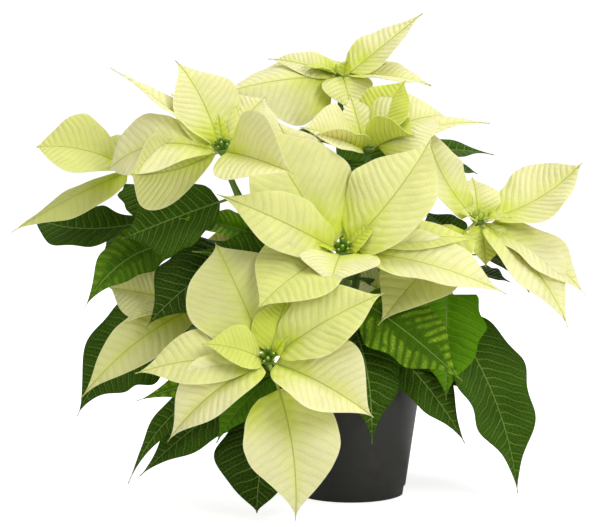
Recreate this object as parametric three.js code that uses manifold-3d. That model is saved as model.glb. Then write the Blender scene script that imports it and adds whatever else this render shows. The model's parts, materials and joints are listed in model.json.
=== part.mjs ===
// Poinsettia with cream bracts in a round nursery pot. Millimetres, +Z up.
// The origin is the middle of the pot's underside. +X is the plant's right, +Y its back.
import * as THREE from "three";
import { mergeVertices } from "three/addons/utils/BufferGeometryUtils.js";
import Module from "manifold-3d";

const wasm = await Module();
wasm.setup();

// ---------------------------------------------------------------- driving dimensions

const GAP = 0.3; // between pieces that touch
const POT = {
  height: 114,
  rimRadius: 65,
  rimBand: 12, // height of the thicker band under the rim
  rimStep: 1.4, // how far the band stands proud of the wall
  footRadius: 49,
  wall: 1.8,
  floor: 2.2,
  standHeight: 3, // the floor of the recess under the pot
  boss: 16, // radius of the flat boss in the middle of the underside
  slotDepth: 6, // each slot through the foot's corner
  slotWidth: 30,
  slotHeight: 8,
  holes: 6,
  holeRadius: 4,
  holeRing: 32,
  sides: 30,
};
const SOIL = {
  top: 99,
  dome: 4,
  bump: 1.2, // lumps on its surface, and how closely they follow each other
  lumps: 0.3,
  hole: 9, // radius round the trunk
  clear: 0.6, // to the pot's wall
  sides: 30,
  rings: 3,
};
const TRUNK = { bottom: 60, top: 166, radius: 7.5, topRadius: 5.5, knob: 0.7, steps: 8, sides: 12 };
const STEM = { rootRadius: 4, topRadius: 2.6, straight: 16, steps: 8, sides: 6 };
// A head's core, and where bracts start on it: root from its axis, further out and up by
// spread and rise when they are steep, and step up or down from their neighbours.
const HUB = { radius: 7, neck: 3.2, height: 7, sides: 6, root: 2.6, spread: 4.6, rise: 2, step: 1.2 };
// A ring of bracts: every other one is shorter, narrower and steeper.
const WHORL = { arch: 9, lift: 0.1, shortReach: 0.78, shortWidth: 0.8, shortLift: 0.4 };
const BUDS = {
  cushion: 3.4, // the short cushion that they stand on
  lift: 1.6,
  count: 4,
  ring: 3,
  foot: 1,
  cup: 1.8,
  height: 7,
  splay: 0.25, // radians that they lean out
  sides: 5,
};
const BLADE = { thickness: 0.9, tip: 0.5, petiole: 1.3, petioleDepth: 2.2 };

const COLOUR = {
  pot: 0x2c2b27,
  soil: 0x2e2117,
  bark: 0x6d6a45,
  stem: 0x4c6a26,
  bract: 0xf0edb0,
  bud: 0x8fa62c,
};

// ---------------------------------------------------------------- the plant's plan

// Each head: where its hub sits, the way it faces, the height on the trunk where its stem
// leaves, and the point that the stem bends towards.
const HEADS = {
  A: { at: [-72, -116, 137], faces: [0, -0.75, 0.66], from: 137, via: [-66, -84, 120] },
  B: { at: [-9, -60, 223], faces: [0.05, -0.55, 0.83], from: 148, via: [-14, -34, 178] },
  C: { at: [-111, -60, 310], faces: [-0.15, -0.35, 0.92], from: 156, via: [-94, -34, 232] },
  D: { at: [-190, 0, 292], faces: [-0.5, -0.2, 0.84], from: 140, via: [-128, 36, 186] },
  E: { at: [15, 0, 308], faces: [0.1, -0.25, 0.96], from: 165, via: [16, -2, 240] },
  F: { at: [-7, 90, 371], faces: [0, -0.2, 0.98], from: 154, via: [-12, 96, 262] },
  G: { at: [113, -10, 245], faces: [0.15, -0.45, 0.88], from: 148, via: [92, 14, 172] },
  H: { at: [-136, -20, 172], faces: [-0.5, -0.4, 0.75], from: 128, via: [-94, -8, 124] },
  I: { at: [-86, 116, 198], faces: [-0.35, 0.6, 0.72], from: 150, via: [-64, 90, 150] },
  J: { at: [44, 112, 160], faces: [0.3, 0.65, 0.7], from: 130, via: [38, 78, 120] },
  K: { at: [-4, 140, 258], faces: [0, 0.55, 0.83], from: 139, via: [0, 112, 170] },
};

// Bracts of each head. tip is right, back and up from the hub; arch lifts the middle towards
// the face; roll turns the blade about its length, and fold lifts its halves, in degrees; sway
// bows it sideways; belly and shoulder shape its outline; stalk is the petiole's share.
const BRACTS = {
  A: [
    { tip: [-46, 45, 95], width: 98, arch: 6, fold: 8, belly: 0.95, shoulder: 12 },
    { tip: [17, 20, 52], width: 44, arch: 6 },
    { tip: [98, -8, 58], width: 68, arch: 8, fold: 12, belly: 1 },
    { tip: [88, -35, -43], width: 88, arch: 10, fold: 32, belly: 1 },
    { tip: [23, -35, -130], width: 82, arch: 10, fold: 6, sway: -7, stalk: 0.18 },
    { tip: [-84, -20, -66], width: 62, arch: 16, fold: 30 },
    { tip: [-111, -10, -10], width: 56, arch: 12, fold: 10, belly: 1 },
    { tip: [-55, -22, 17], width: 42, arch: 6, fold: 14 },
    { tip: [17, -12, 22], width: 12, arch: 2 },
    { tip: [-25, -15, 1], width: 11, arch: 2 },
  ],
  B: [
    { tip: [-74, 15, 116], width: 105, arch: 10, fold: 8, sway: -10, belly: 0.8, shoulder: 8, round: 0.35 },
    { tip: [79, 20, 99], width: 86, arch: 10, fold: 10, sway: 12, belly: 0.86, round: 0.35 },
    { tip: [141, -25, -34], width: 68, arch: 10, fold: 15, belly: 1 },
    { tip: [-11, -60, -23], width: 76, arch: 6, fold: 12 },
    { tip: [-73, -62, -43], width: 84, arch: 10, fold: 10, belly: 1 },
    { tip: [-106, -48, 54], width: 52, arch: 14, roll: -48, fold: 10, belly: 0.9 },
    { tip: [33, -5, 27], width: 34, arch: 4 },
    { tip: [118, 12, 10], width: 40, arch: 8, belly: 1.1 },
    { tip: [-40, -15, 19], width: 26, arch: 3 },
    { tip: [-57, 20, 114], width: 74, arch: 2, fold: 6, belly: 0.95, shoulder: 22 },
  ],
  C: [
    { tip: [-42, 18, 78], width: 64, arch: 8, fold: 8, sway: 2, belly: 0.74 },
    { tip: [-96, -8, 72], width: 34, arch: 3, roll: 12 },
    { tip: [-77, -40, -17], width: 70, arch: 6, roll: 95, fold: 10, sway: 8, belly: 1.6, shoulder: 30 },
    { tip: [-100, 8, -17], width: 62, arch: 26, roll: -30, fold: 10, belly: 1.3, shoulder: 24 },
    { tip: [61, -80, -14], width: 88, arch: 8, roll: 38, fold: 40, belly: 1.15, round: 0.9 },
    { tip: [36, 25, 46], width: 80, arch: 4, roll: 15, belly: 0.85 },
    { tip: [-50, 25, 46], width: 30, arch: 4 },
    { tip: [-47, 42, 48], width: 34, arch: 4 },
    { tip: [2, 28, 52], width: 26, arch: 4 },
    { tip: [-5, 7, 34], width: 13, arch: 2 },
  ],
  D: [
    { tip: [-88, -10, 19], width: 68, arch: 12, roll: -35, fold: 14, belly: 1.2, shoulder: 36, stalk: 0.1 },
    { tip: [-110, -15, -56], width: 40, arch: 4, roll: -25, fold: -20 },
    { tip: [-66, 58, 4], width: 48, arch: 10 },
    { tip: [-6, 82, 6], width: 50, arch: 10 },
    { tip: [52, 52, 12], width: 44, arch: 10 },
    { tip: [-30, 34, 26], width: 30 },
  ],
  E: [
    { tip: [-60, -28, 21], width: 62, arch: 4, roll: -25, fold: 22, belly: 0.95 },
    { tip: [34, 12, 61], width: 58, belly: 1, shoulder: 12 },
    { tip: [72, 12, 28], width: 72, arch: 16, roll: 30 },
    { tip: [108, -6, 24], width: 28, arch: 10, roll: 15 },
    { tip: [-16, 14, 49], width: 38, arch: 2, roll: -20 },
    { tip: [40, -34, 14], width: 60, arch: 4, roll: -10, fold: 48, belly: 0.9 },
    { tip: [-60, -34, 10], width: 56, arch: 4, roll: 6, fold: 40 },
    { tip: [-48, 60, 21], width: 46, arch: 8 },
    { tip: [62, 58, 17], width: 46, arch: 8 },
  ],
  F: [
    { tip: [76, 12, 58], width: 46, arch: 0, roll: 20, belly: 0.6 },
    { tip: [-68, 10, 16], width: 32, arch: 4, roll: -30, belly: 0.6 },
    { tip: [-37, -14, 9], width: 22, arch: 2 },
    { tip: [-112, -22, -16], width: 84, arch: 8, roll: -36, fold: -30, belly: 0.66, round: 0.45, shoulder: 10 },
    { tip: [83, -8, -8], width: 50, arch: 5, roll: 5, belly: 1 },
    { tip: [-65, 66, -6], width: 48, arch: 12 },
    { tip: [55, 60, -4], width: 46, arch: 12 },
    { tip: [-5, 92, -8], width: 50, arch: 12 },
    { tip: [8, -22, -32], width: 50, arch: 4 },
    { tip: [6, -15, 15], width: 14, arch: 2 },
  ],
  G: [
    { tip: [-46, 25, 86], width: 48, arch: 4, fold: 8, sway: -14, belly: 0.95, shoulder: 20, round: 0.3 },
    { tip: [-4, 28, 38], width: 44, arch: 4, fold: 8 },
    { tip: [92, 5, 52], width: 78, arch: -11, belly: 1.1, shoulder: 14 },
    { tip: [94, -15, -64], width: 64, arch: 10, fold: 8, belly: 0.95 },
    { tip: [76, -40, -90], width: 66, arch: 14, fold: 10, belly: 0.9 },
    { tip: [-91, -66, -84], width: 76, arch: 8, belly: 0.95, stalk: 0.12 },
    { tip: [-18, -20, 9], width: 16, arch: 2 },
    { tip: [62, 58, 2], width: 44, arch: 10 },
    { tip: [40, -22, -42], width: 18, arch: 6 },
    { tip: [5, -22, -38], width: 32, arch: 4, shoulder: 14 },
    { tip: [28, -20, 5], width: 14, arch: 2 },
  ],
  H: [
    { tip: [-100, -40, -77], width: 48, arch: 18, roll: -35, fold: 6 },
    { tip: [-78, 3, 15], width: 54, arch: 8, roll: -35, belly: 1.25, shoulder: 20 },
    { tip: [-24, 60, 2], width: 40, arch: 10 },
    { tip: [-62, -34, -12], width: 30, fold: 14 },
  ],
  I: whorl([-0.35, 0.6, 0.72], 7, 72, 52),
  J: whorl([0.3, 0.65, 0.7], 8, 70, 50),
  K: whorl([0, 0.55, 0.83], 6, 66, 50),
};

// Leaves of each stem: how far along it they grow, the tip's place, and their form.
const LEAVES = {
  A: [
    { grows: 0.55, tip: [-185, -90, 98], width: 36, arch: 8, roll: -40 },
    { grows: 0.7, tip: [-194, -75, 23], width: 26, arch: 10, roll: -50, sway: 24, fold: 20 },
    { grows: 0.6, tip: [-116, -105, 64], width: 64, arch: 10 },
    { grows: 0.45, tip: [-82, -100, 2], width: 84, arch: 14, sway: 6, belly: 1.35, shoulder: 30 },
    { grows: 0.5, tip: [-185, -60, 26], width: 58, arch: 14, roll: -35 },
  ],
  B: [
    { grows: 0.85, tip: [-138, -72, 225], width: 48, arch: 3, roll: -50, fold: 6 },
    { grows: 0.35, tip: [17, -78, 58], width: 64, arch: 28 },
    { grows: 0.6, tip: [94, -92, 115], width: 66, arch: 12, roll: 35, fold: 8 },
    { grows: 0.7, tip: [19, 0, 187], width: 30, arch: 4, fold: 8 },
    { grows: 0.3, tip: [125, -26, 88], width: 50, arch: 4, roll: 25 },
    { grows: 0.3, tip: [101, -36, 50], width: 54, arch: 20, roll: 35 },
  ],
  C: [
    { grows: 0.5, tip: [-177, -75, 160], width: 82, arch: 12, roll: -20, sway: 5, fold: 8, belly: 0.85 },
    { grows: 0.8, tip: [-200, -48, 233], width: 84, arch: 2, roll: -40, belly: 1.05 },
    { grows: 0.56, tip: [-150, -58, 252], width: 38, arch: 4, roll: -30 },
  ],
  D: [
    { grows: 0.8, tip: [-290, 60, 243], width: 50, arch: 6, roll: -35, sway: -20, belly: 1.1, shoulder: 14 },
    { grows: 0.65, tip: [-233, -48, 173], width: 44, arch: 10, roll: -40, sway: 17 },
    { grows: 0.95, tip: [-180, -27, 236], width: 48, arch: 8, belly: 0.58, round: 0.3, stalk: 0.07 },
    { grows: 0.7, tip: [-230, 70, 206], width: 52, arch: 14 },
    { grows: 0.5, tip: [-140, 120, 176], width: 52, arch: 14 },
  ],
  E: [
    { grows: 0.97, tip: [2, -34, 242], width: 84, belly: 0.55, round: 0.3, stalk: 0.05 },
    { grows: 0.86, tip: [48, -26, 296], width: 34, arch: 2 },
    { grows: 0.93, tip: [131, 45, 301], width: 30, arch: 10, roll: 22 },
    { grows: 0.8, tip: [116, 45, 284], width: 36, arch: 14, roll: 20, belly: 1.3, shoulder: 12 },
  ],
  F: [
    { grows: 0.74, tip: [-90, 128, 300], width: 44, arch: 10 },
    { grows: 0.75, tip: [80, 130, 300], width: 44, arch: 10 },
    { grows: 0.85, tip: [-10, 190, 320], width: 46, arch: 12 },
    { grows: 0.8, tip: [50, 44, 262], width: 64, arch: 4, roll: 30, fold: 6 },
  ],
  G: [
    { grows: 0.8, tip: [68, 42, 250], width: 40, arch: 4 },
    { grows: 0.7, tip: [141, -20, 192], width: 30, arch: 2 },
    { grows: 0.8, tip: [157, -30, 184], width: 20, arch: 12 },
    { grows: 0.64, tip: [82, -62, 94], width: 68, arch: 3, belly: 0.62, round: 0.3 },
    { grows: 0.3, tip: [150, 70, 100], width: 56, arch: 16 },
    { grows: 0.5, tip: [147, -42, 7], width: 88, arch: 14, sway: -8 },
  ],
  H: [
    { grows: 0.8, tip: [-248, 26, 64], width: 80, arch: 8, roll: -60, sway: 26 },
    { grows: 0.6, tip: [-196, 70, 110], width: 54, arch: 18 },
  ],
  I: [
    { grows: 0.7, tip: [-150, 150, 110], width: 56, arch: 18 },
    { grows: 0.5, tip: [-60, 190, 90], width: 56, arch: 20 },
  ],
  J: [
    { grows: 0.7, tip: [120, 160, 90], width: 56, arch: 18 },
    { grows: 0.5, tip: [30, 180, 60], width: 56, arch: 20 },
    { grows: 0.4, tip: [130, 70, 80], width: 56, arch: 16 },
  ],
  K: [
    { grows: 0.7, tip: [70, 190, 200], width: 50, arch: 14 },
    { grows: 0.6, tip: [-20, 200, 180], width: 50, arch: 14 },
  ],
};

// ---------------------------------------------------------------- solids

const UP = new THREE.Vector3(0, 0, 1);
const ROUGHNESS = 0.7;
const vec = (p) => new THREE.Vector3(...p);

// A closed geometry as a solid that can be joined and cut.
function solidOf(geometry) {
  geometry.deleteAttribute("normal");
  geometry.deleteAttribute("uv");
  const merged = mergeVertices(geometry, 1e-4);
  return new wasm.Manifold(
    new wasm.Mesh({
      numProp: 3,
      vertProperties: merged.attributes.position.array,
      triVerts: new Uint32Array(merged.index.array),
    }),
  );
}

// A solid as a named mesh.
function meshOf(name, solid, color) {
  const result = solid.getMesh();
  const geometry = new THREE.BufferGeometry();
  geometry.setAttribute("position", new THREE.BufferAttribute(result.vertProperties, 3));
  geometry.setIndex(new THREE.BufferAttribute(result.triVerts, 1));
  geometry.computeVertexNormals();
  const mesh = new THREE.Mesh(
    geometry,
    new THREE.MeshStandardMaterial({ color, roughness: ROUGHNESS, metalness: 0 }),
  );
  mesh.name = name;
  return mesh;
}

const joined = (solids) => solids.reduce((all, next) => all.add(next));

// A closed shell through rings of points that all have the same count, with flat ends.
function shellOf(rings) {
  const sides = rings[0].length;
  const points = rings.flat().flatMap((p) => [p.x, p.y, p.z]);
  const faces = [];
  for (let i = 0; i < rings.length - 1; i++) {
    for (let j = 0; j < sides; j++) {
      const a = i * sides + j;
      const b = i * sides + ((j + 1) % sides);
      faces.push(a, b, b + sides, a, b + sides, a + sides);
    }
  }
  const last = (rings.length - 1) * sides;
  for (let j = 1; j < sides - 1; j++) {
    faces.push(0, j + 1, j);
    faces.push(last, last + j, last + j + 1);
  }
  const geometry = new THREE.BufferGeometry();
  geometry.setAttribute("position", new THREE.Float32BufferAttribute(points, 3));
  geometry.setIndex(faces);
  return geometry;
}

// A round tube along a curve, whose radius goes evenly from one end's to the other's.
function tube(curve, steps, sides, startRadius, endRadius) {
  const frames = curve.computeFrenetFrames(steps, false);
  const rings = [];
  for (let i = 0; i <= steps; i++) {
    const centre = curve.getPointAt(i / steps);
    const radius = startRadius + ((endRadius - startRadius) * i) / steps;
    const ring = [];
    for (let j = 0; j < sides; j++) {
      const angle = (2 * Math.PI * j) / sides;
      ring.push(
        centre
          .clone()
          .addScaledVector(frames.normals[i], radius * Math.cos(angle))
          .addScaledVector(frames.binormals[i], radius * Math.sin(angle)),
      );
    }
    rings.push(ring);
  }
  return solidOf(shellOf(rings));
}

// ---------------------------------------------------------------- blades

// Places along a blade, from 0 where the petiole widens to 1 at the tip.
const WIDE_STATIONS = [0, 0.1, 0.32, 0.56, 0.8, 1];
const PLAIN_STATIONS = [0, 0.14, 0.42, 0.72, 1];
const LOBED_STATIONS = [0, 0.12, 0.3, 0.48, 0.66, 0.83, 1];
const SMALL_STATIONS = [0, 0.25, 0.7, 1];
const SMALL_WIDTH = 45;
const WIDE_WIDTH = 64;
const LOBE_FIRST = 0.34;
const LOBE_SPACING = 0.32;
const EDGE_WAVE = 0.06; // of the half-width
const WAVE_STEP = 2.2; // radians from one place along the blade to the next
const BLADE_TURN = 2.4; // and from one blade to the next
const BRACT_FORM = { lobe: 0, stalk: 0.05 };
const LEAF_FORM = { lobe: 0.08, stalk: 0.16 };
const LEAF_FACES = [0, -0.2, 1];
const PLAIN_FORM = { arch: 6, roll: 0, fold: 12, sway: 0, belly: 0.76, shoulder: 6, round: 0.5 };
const TIP_POWER = 1.2; // keeps the tip slender where round widens the base

// Half-width of a blade as a share of its widest half-width.
function outline(u, { belly, shoulder, lobe, round }) {
  const power = round + (TIP_POWER - round) * u;
  const bulge = Math.pow(Math.sin(Math.PI * Math.pow(u, belly)), power);
  const smooth = bulge * (1 - Math.pow(u, shoulder));
  return smooth * (1 + lobe * Math.cos((2 * Math.PI * (u - LOBE_FIRST)) / LOBE_SPACING));
}

function stationsOf({ width, lobe }) {
  if (width < SMALL_WIDTH) return SMALL_STATIONS;
  if (width < WIDE_WIDTH) return PLAIN_STATIONS;
  return lobe > 0 ? LOBED_STATIONS : WIDE_STATIONS;
}

// A leaf or bract: a thin arched blade on a short petiole, folded along its midrib. turn
// shifts its edge's wave.
function blade(root, tip, facing, form, turn) {
  const { width, arch, roll, fold, sway, stalk } = form;
  const chord = tip.clone().sub(root);
  const along = chord.clone().normalize();
  const face = facing.clone().addScaledVector(along, -facing.dot(along)).normalize();
  face.applyAxisAngle(along, THREE.MathUtils.degToRad(roll));
  const across = along.clone().cross(face);
  const halfFold = THREE.MathUtils.degToRad(fold);
  const rings = [-stalk / (1 - stalk), ...stationsOf(form)].map((u, i) => {
    const t = stalk + u * (1 - stalk);
    const bow = 4 * t * (1 - t);
    const slope = 4 * (1 - 2 * t);
    const centre = root.clone().addScaledVector(chord, t);
    centre.addScaledVector(face, arch * bow).addScaledVector(across, sway * bow);
    const tangent = chord.clone().addScaledVector(face, arch * slope);
    tangent.addScaledVector(across, sway * slope).normalize();
    const normal = face.clone().addScaledVector(tangent, -face.dot(tangent)).normalize();
    const side = tangent.clone().cross(normal);
    const half = u > 0 ? Math.max((width / 2) * outline(u, form), BLADE.tip) : BLADE.petiole;
    const depth = (u > 0 ? BLADE.thickness : BLADE.petioleDepth) / 2;
    const wave = EDGE_WAVE * half * Math.sin(WAVE_STEP * i + turn);
    const point = (share, up) => {
      const lift = Math.abs(share) * half * Math.sin(halfFold) + share * wave + up;
      const out = share * half * Math.cos(halfFold);
      return centre.clone().addScaledVector(side, out).addScaledVector(normal, lift);
    };
    const under = [-1, 0, 1].map((share) => point(share, -depth));
    const over = [1, 0, -1].map((share) => point(share, depth));
    return [...under, ...over];
  });
  return solidOf(bladeShell(rings));
}

// The blade's shell. Both faces are split along the same diagonals, so they never cross.
function bladeShell(rings) {
  const points = rings.flat().flatMap((p) => [p.x, p.y, p.z]);
  const faces = [];
  const quad = (a, b, c, d) => faces.push(a, b, c, a, c, d);
  for (let i = 0; i < rings.length - 1; i++) {
    const a = 6 * i;
    const b = a + 6;
    quad(b, b + 1, a + 1, a);
    quad(b + 1, b + 2, a + 2, a + 1);
    quad(b + 5, a + 5, a + 4, b + 4);
    quad(b + 4, a + 4, a + 3, b + 3);
    quad(a + 2, b + 2, b + 3, a + 3);
    quad(b, a, a + 5, b + 5);
  }
  const end = 6 * (rings.length - 1);
  quad(0, 1, 4, 5);
  quad(1, 2, 3, 4);
  quad(end + 1, end, end + 5, end + 4);
  quad(end + 2, end + 1, end + 4, end + 3);
  const geometry = new THREE.BufferGeometry();
  geometry.setAttribute("position", new THREE.Float32BufferAttribute(points, 3));
  geometry.setIndex(faces);
  return geometry;
}

// ---------------------------------------------------------------- heads, stems and leaves

// Bracts set evenly round a head that faces the given way, longer and shorter in turn.
function whorl(faces, count, length, width) {
  const axis = new THREE.Vector3(...faces).normalize();
  const right = new THREE.Vector3(1, 0, 0).addScaledVector(axis, -axis.x).normalize();
  const back = axis.clone().cross(right);
  return Array.from({ length: count }, (_, i) => {
    const angle = (2 * Math.PI * i) / count;
    const short = i % 2 === 1;
    const reach = length * (short ? WHORL.shortReach : 1);
    const tip = axis.clone().multiplyScalar(reach * (short ? WHORL.shortLift : WHORL.lift));
    tip.addScaledVector(right, reach * Math.cos(angle));
    tip.addScaledVector(back, reach * Math.sin(angle));
    return { tip: tip.toArray(), width: width * (short ? WHORL.shortWidth : 1), arch: WHORL.arch };
  });
}

const facingOf = (head) => vec(head.faces).normalize();

function stemCurve(head) {
  const start = new THREE.Vector3(0, 0, head.from);
  const end = vec(head.at).addScaledVector(facingOf(head), -HUB.height / 2 - GAP);
  const under = end.clone().addScaledVector(facingOf(head), -STEM.straight);
  return new THREE.CubicBezierCurve3(start, vec(head.via), under, end);
}

// A bract starts off the core's axis, on the side that it leans to: the steeper, the
// further out, so that it clears the buds.
function bractSolids(key) {
  const head = HEADS[key];
  const hub = vec(head.at);
  const facing = facingOf(head);
  return BRACTS[key].map((row, i) => {
    const reach = vec(row.tip);
    const outward = reach.clone().addScaledVector(facing, -reach.dot(facing)).normalize();
    const steep = Math.max(0, reach.clone().normalize().dot(facing));
    const root = hub.clone().addScaledVector(outward, HUB.root + HUB.spread * steep);
    root.addScaledVector(facing, HUB.rise * steep + HUB.step * ((i % 3) - 1));
    const form = { ...PLAIN_FORM, ...BRACT_FORM, ...row };
    return blade(root, hub.clone().add(reach), facing, form, BLADE_TURN * i);
  });
}

function leafSolids(key) {
  const curve = stemCurve(HEADS[key]);
  const up = vec(LEAF_FACES).normalize();
  return LEAVES[key].map((row, i) => {
    const form = { ...PLAIN_FORM, ...LEAF_FORM, ...row };
    return blade(curve.getPointAt(row.grows), vec(row.tip), up, form, BLADE_TURN * i + 1);
  });
}

// A head's core, just off the end of its stem, with bracts sunk into it.
function hubSolid(head) {
  const core = new THREE.CylinderGeometry(HUB.radius, HUB.neck, HUB.height, HUB.sides);
  core.rotateX(Math.PI / 2);
  placeOnHead(core, head);
  return solidOf(core);
}

// Moves geometry made about the origin, with +Z as its axis, onto a head.
function placeOnHead(geometry, head) {
  const turned = new THREE.Quaternion().setFromUnitVectors(UP, facingOf(head));
  geometry.applyQuaternion(turned);
  geometry.translate(...head.at);
}

// The buds: a ring of small green cups with round tips, on a cushion.
function budSolids(head) {
  const base = HUB.height / 2 + GAP;
  const cushion = new THREE.CylinderGeometry(BUDS.cushion, BUDS.cushion, BUDS.lift, HUB.sides);
  cushion.rotateX(Math.PI / 2);
  cushion.translate(0, 0, base + BUDS.lift / 2);
  const cups = Array.from({ length: BUDS.count }, (_, i) => {
    const cup = new THREE.LatheGeometry(cupProfile(BUDS.height), BUDS.sides);
    cup.rotateX(Math.PI / 2);
    cup.rotateY(BUDS.splay);
    cup.translate(BUDS.ring, 0, base + BUDS.lift / 2);
    cup.rotateZ((2 * Math.PI * i) / BUDS.count);
    return cup;
  });
  return [cushion, ...cups].map((shape) => {
    placeOnHead(shape, head);
    return solidOf(shape);
  });
}

// Half-section of a cup, from its narrow foot to its round tip.
function cupProfile(height) {
  return [
    new THREE.Vector2(0, 0),
    new THREE.Vector2(BUDS.foot, 0),
    new THREE.Vector2(BUDS.cup, 0.7 * height),
    new THREE.Vector2(0, height),
  ];
}

// ---------------------------------------------------------------- trunk, soil and pot

// The woody trunk, knobbly where the stems leave it. grown is added all round.
function trunkSolid(grown = 0) {
  const { bottom, top, radius, topRadius, knob, steps, sides } = TRUNK;
  const profile = [new THREE.Vector2(0, bottom)];
  for (let i = 0; i <= steps; i++) {
    const share = i / steps;
    const bulge = i % 2 ? knob : 0;
    const reach = radius + (topRadius - radius) * share + bulge + grown;
    profile.push(new THREE.Vector2(reach, bottom + (top - bottom) * share + grown * (i === steps)));
  }
  profile.push(new THREE.Vector2(0, top + grown));
  const shape = new THREE.LatheGeometry(profile, sides);
  shape.rotateX(Math.PI / 2);
  return solidOf(shape);
}

// Soil with a low dome and a bumpy top, and a plain hole that the trunk stands in.
function soilSolid() {
  const inner = wallRadius(SOIL.top) - POT.wall - SOIL.clear;
  const bed = POT.standHeight + POT.floor + GAP;
  const profile = [new THREE.Vector2(0, bed)];
  profile.push(new THREE.Vector2(wallRadius(bed) - POT.wall - SOIL.clear, bed));
  for (let i = SOIL.rings; i >= 0; i--) {
    const share = i / SOIL.rings;
    profile.push(new THREE.Vector2(inner * share, SOIL.top + SOIL.dome * (1 - share * share)));
  }
  const shape = new THREE.LatheGeometry(profile, SOIL.sides);
  shape.rotateX(Math.PI / 2);
  const place = shape.attributes.position;
  for (let i = 0; i < place.count; i++) {
    if (place.getZ(i) <= SOIL.top) continue;
    const lump = Math.sin(SOIL.lumps * place.getX(i) + 1) * Math.cos(SOIL.lumps * place.getY(i));
    place.setZ(i, place.getZ(i) + SOIL.bump * lump);
  }
  const hole = new THREE.CylinderGeometry(SOIL.hole, SOIL.hole, POT.height, TRUNK.sides * 2);
  hole.rotateX(Math.PI / 2);
  hole.translate(0, 0, TRUNK.bottom - GAP + POT.height / 2);
  return solidOf(shape).subtract(solidOf(hole));
}

// Outer radius of the pot's wall at a height.
function wallRadius(z) {
  const share = z / (POT.height - POT.rimBand);
  return POT.footRadius + (POT.rimRadius - POT.rimStep - POT.footRadius) * share;
}

// A tapering pot with a thicker band under its rim, a recess and a flat boss under its
// floor, holes round the floor and a slot through its foot on either side.
function potSolid() {
  const { height, rimRadius, rimBand, footRadius, wall, floor, standHeight, boss } = POT;
  const inside = standHeight + floor;
  const band = height - rimBand;
  const profile = [
    [0, 0],
    [boss, 0],
    [boss + 1, standHeight],
    [footRadius - wall - 1, standHeight],
    [footRadius - wall, 0],
    [footRadius, 0],
    [wallRadius(band), band],
    [rimRadius, band + 1],
    [rimRadius, height],
    [rimRadius - wall - 1, height],
    [wallRadius(band) - wall, band],
    [wallRadius(inside) - wall, inside],
    [0, inside],
  ].map(([r, z]) => new THREE.Vector2(r, z));
  const shape = new THREE.LatheGeometry(profile, POT.sides);
  shape.rotateX(Math.PI / 2);
  let pot = solidOf(shape);
  for (const side of [1, -1]) {
    const slot = new THREE.BoxGeometry(POT.slotDepth * 2, POT.slotWidth, POT.slotHeight * 2);
    slot.translate(side * (footRadius + POT.slotDepth / 2), 0, 0);
    pot = pot.subtract(solidOf(slot));
  }
  for (let i = 0; i < POT.holes; i++) {
    const angle = (2 * Math.PI * (i + 0.5)) / POT.holes;
    const hole = new THREE.CylinderGeometry(POT.holeRadius, POT.holeRadius, height / 4, 8);
    hole.rotateX(Math.PI / 2);
    hole.translate(POT.holeRing * Math.cos(angle), POT.holeRing * Math.sin(angle), 0);
    pot = pot.subtract(solidOf(hole));
  }
  return pot;
}

// ---------------------------------------------------------------- the plant

const trunkRoom = trunkSolid(GAP);
const plant = new THREE.Group();
plant.name = "poinsettia";
plant.add(meshOf("pot", potSolid(), COLOUR.pot));
plant.add(meshOf("soil", soilSolid(), COLOUR.soil));
plant.add(meshOf("trunk", trunkSolid(), COLOUR.bark));
for (const [key, head] of Object.entries(HEADS)) {
  const stem = tube(stemCurve(head), STEM.steps, STEM.sides, STEM.rootRadius, STEM.topRadius);
  const leafy = joined([stem, ...leafSolids(key)]).subtract(trunkRoom);
  plant.add(meshOf(`stem_${key}`, leafy, COLOUR.stem));
  plant.add(meshOf(`bloom_${key}`, joined([hubSolid(head), ...bractSolids(key)]), COLOUR.bract));
  plant.add(meshOf(`buds_${key}`, joined(budSolids(head)), COLOUR.bud));
}

export default plant;
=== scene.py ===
"""Potted poinsettia: bracts, leaves, stems, buds, bark, soil and pot, built round the
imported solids. Rows of places and sizes are in millimetres, and meshes are in metres."""

import json
import math

import bmesh
import bpy
import numpy as np
from mathutils import Matrix, Vector, noise

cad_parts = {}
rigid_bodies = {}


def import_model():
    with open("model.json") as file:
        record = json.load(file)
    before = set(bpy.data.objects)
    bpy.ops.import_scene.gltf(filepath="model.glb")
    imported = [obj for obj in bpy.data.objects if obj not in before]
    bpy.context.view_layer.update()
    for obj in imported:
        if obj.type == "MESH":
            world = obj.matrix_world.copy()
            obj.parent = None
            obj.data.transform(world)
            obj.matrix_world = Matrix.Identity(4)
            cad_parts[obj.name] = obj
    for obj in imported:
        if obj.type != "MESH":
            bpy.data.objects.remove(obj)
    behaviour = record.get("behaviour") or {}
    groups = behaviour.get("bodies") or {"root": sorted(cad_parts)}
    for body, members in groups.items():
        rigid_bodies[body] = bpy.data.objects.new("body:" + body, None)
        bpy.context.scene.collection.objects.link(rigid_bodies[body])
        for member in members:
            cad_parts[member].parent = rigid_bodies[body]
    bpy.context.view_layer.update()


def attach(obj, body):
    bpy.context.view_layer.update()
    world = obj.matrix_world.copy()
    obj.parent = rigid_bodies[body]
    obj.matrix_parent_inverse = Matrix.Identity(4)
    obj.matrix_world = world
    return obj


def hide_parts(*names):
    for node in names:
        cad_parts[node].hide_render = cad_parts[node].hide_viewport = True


bl_info = {
    "name": "Potted Poinsettia",
    "version": (1, 0, 0),
    "blender": (4, 5, 0),
    "location": "View3D > Sidebar > Poinsettia",
    "description": "Bracts, leaves, stems, buds, soil and pot of a poinsettia",
    "category": "Object",
}

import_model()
MM = 0.001
BODY = "root"

# ---- the plant's plan, in mm

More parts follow.
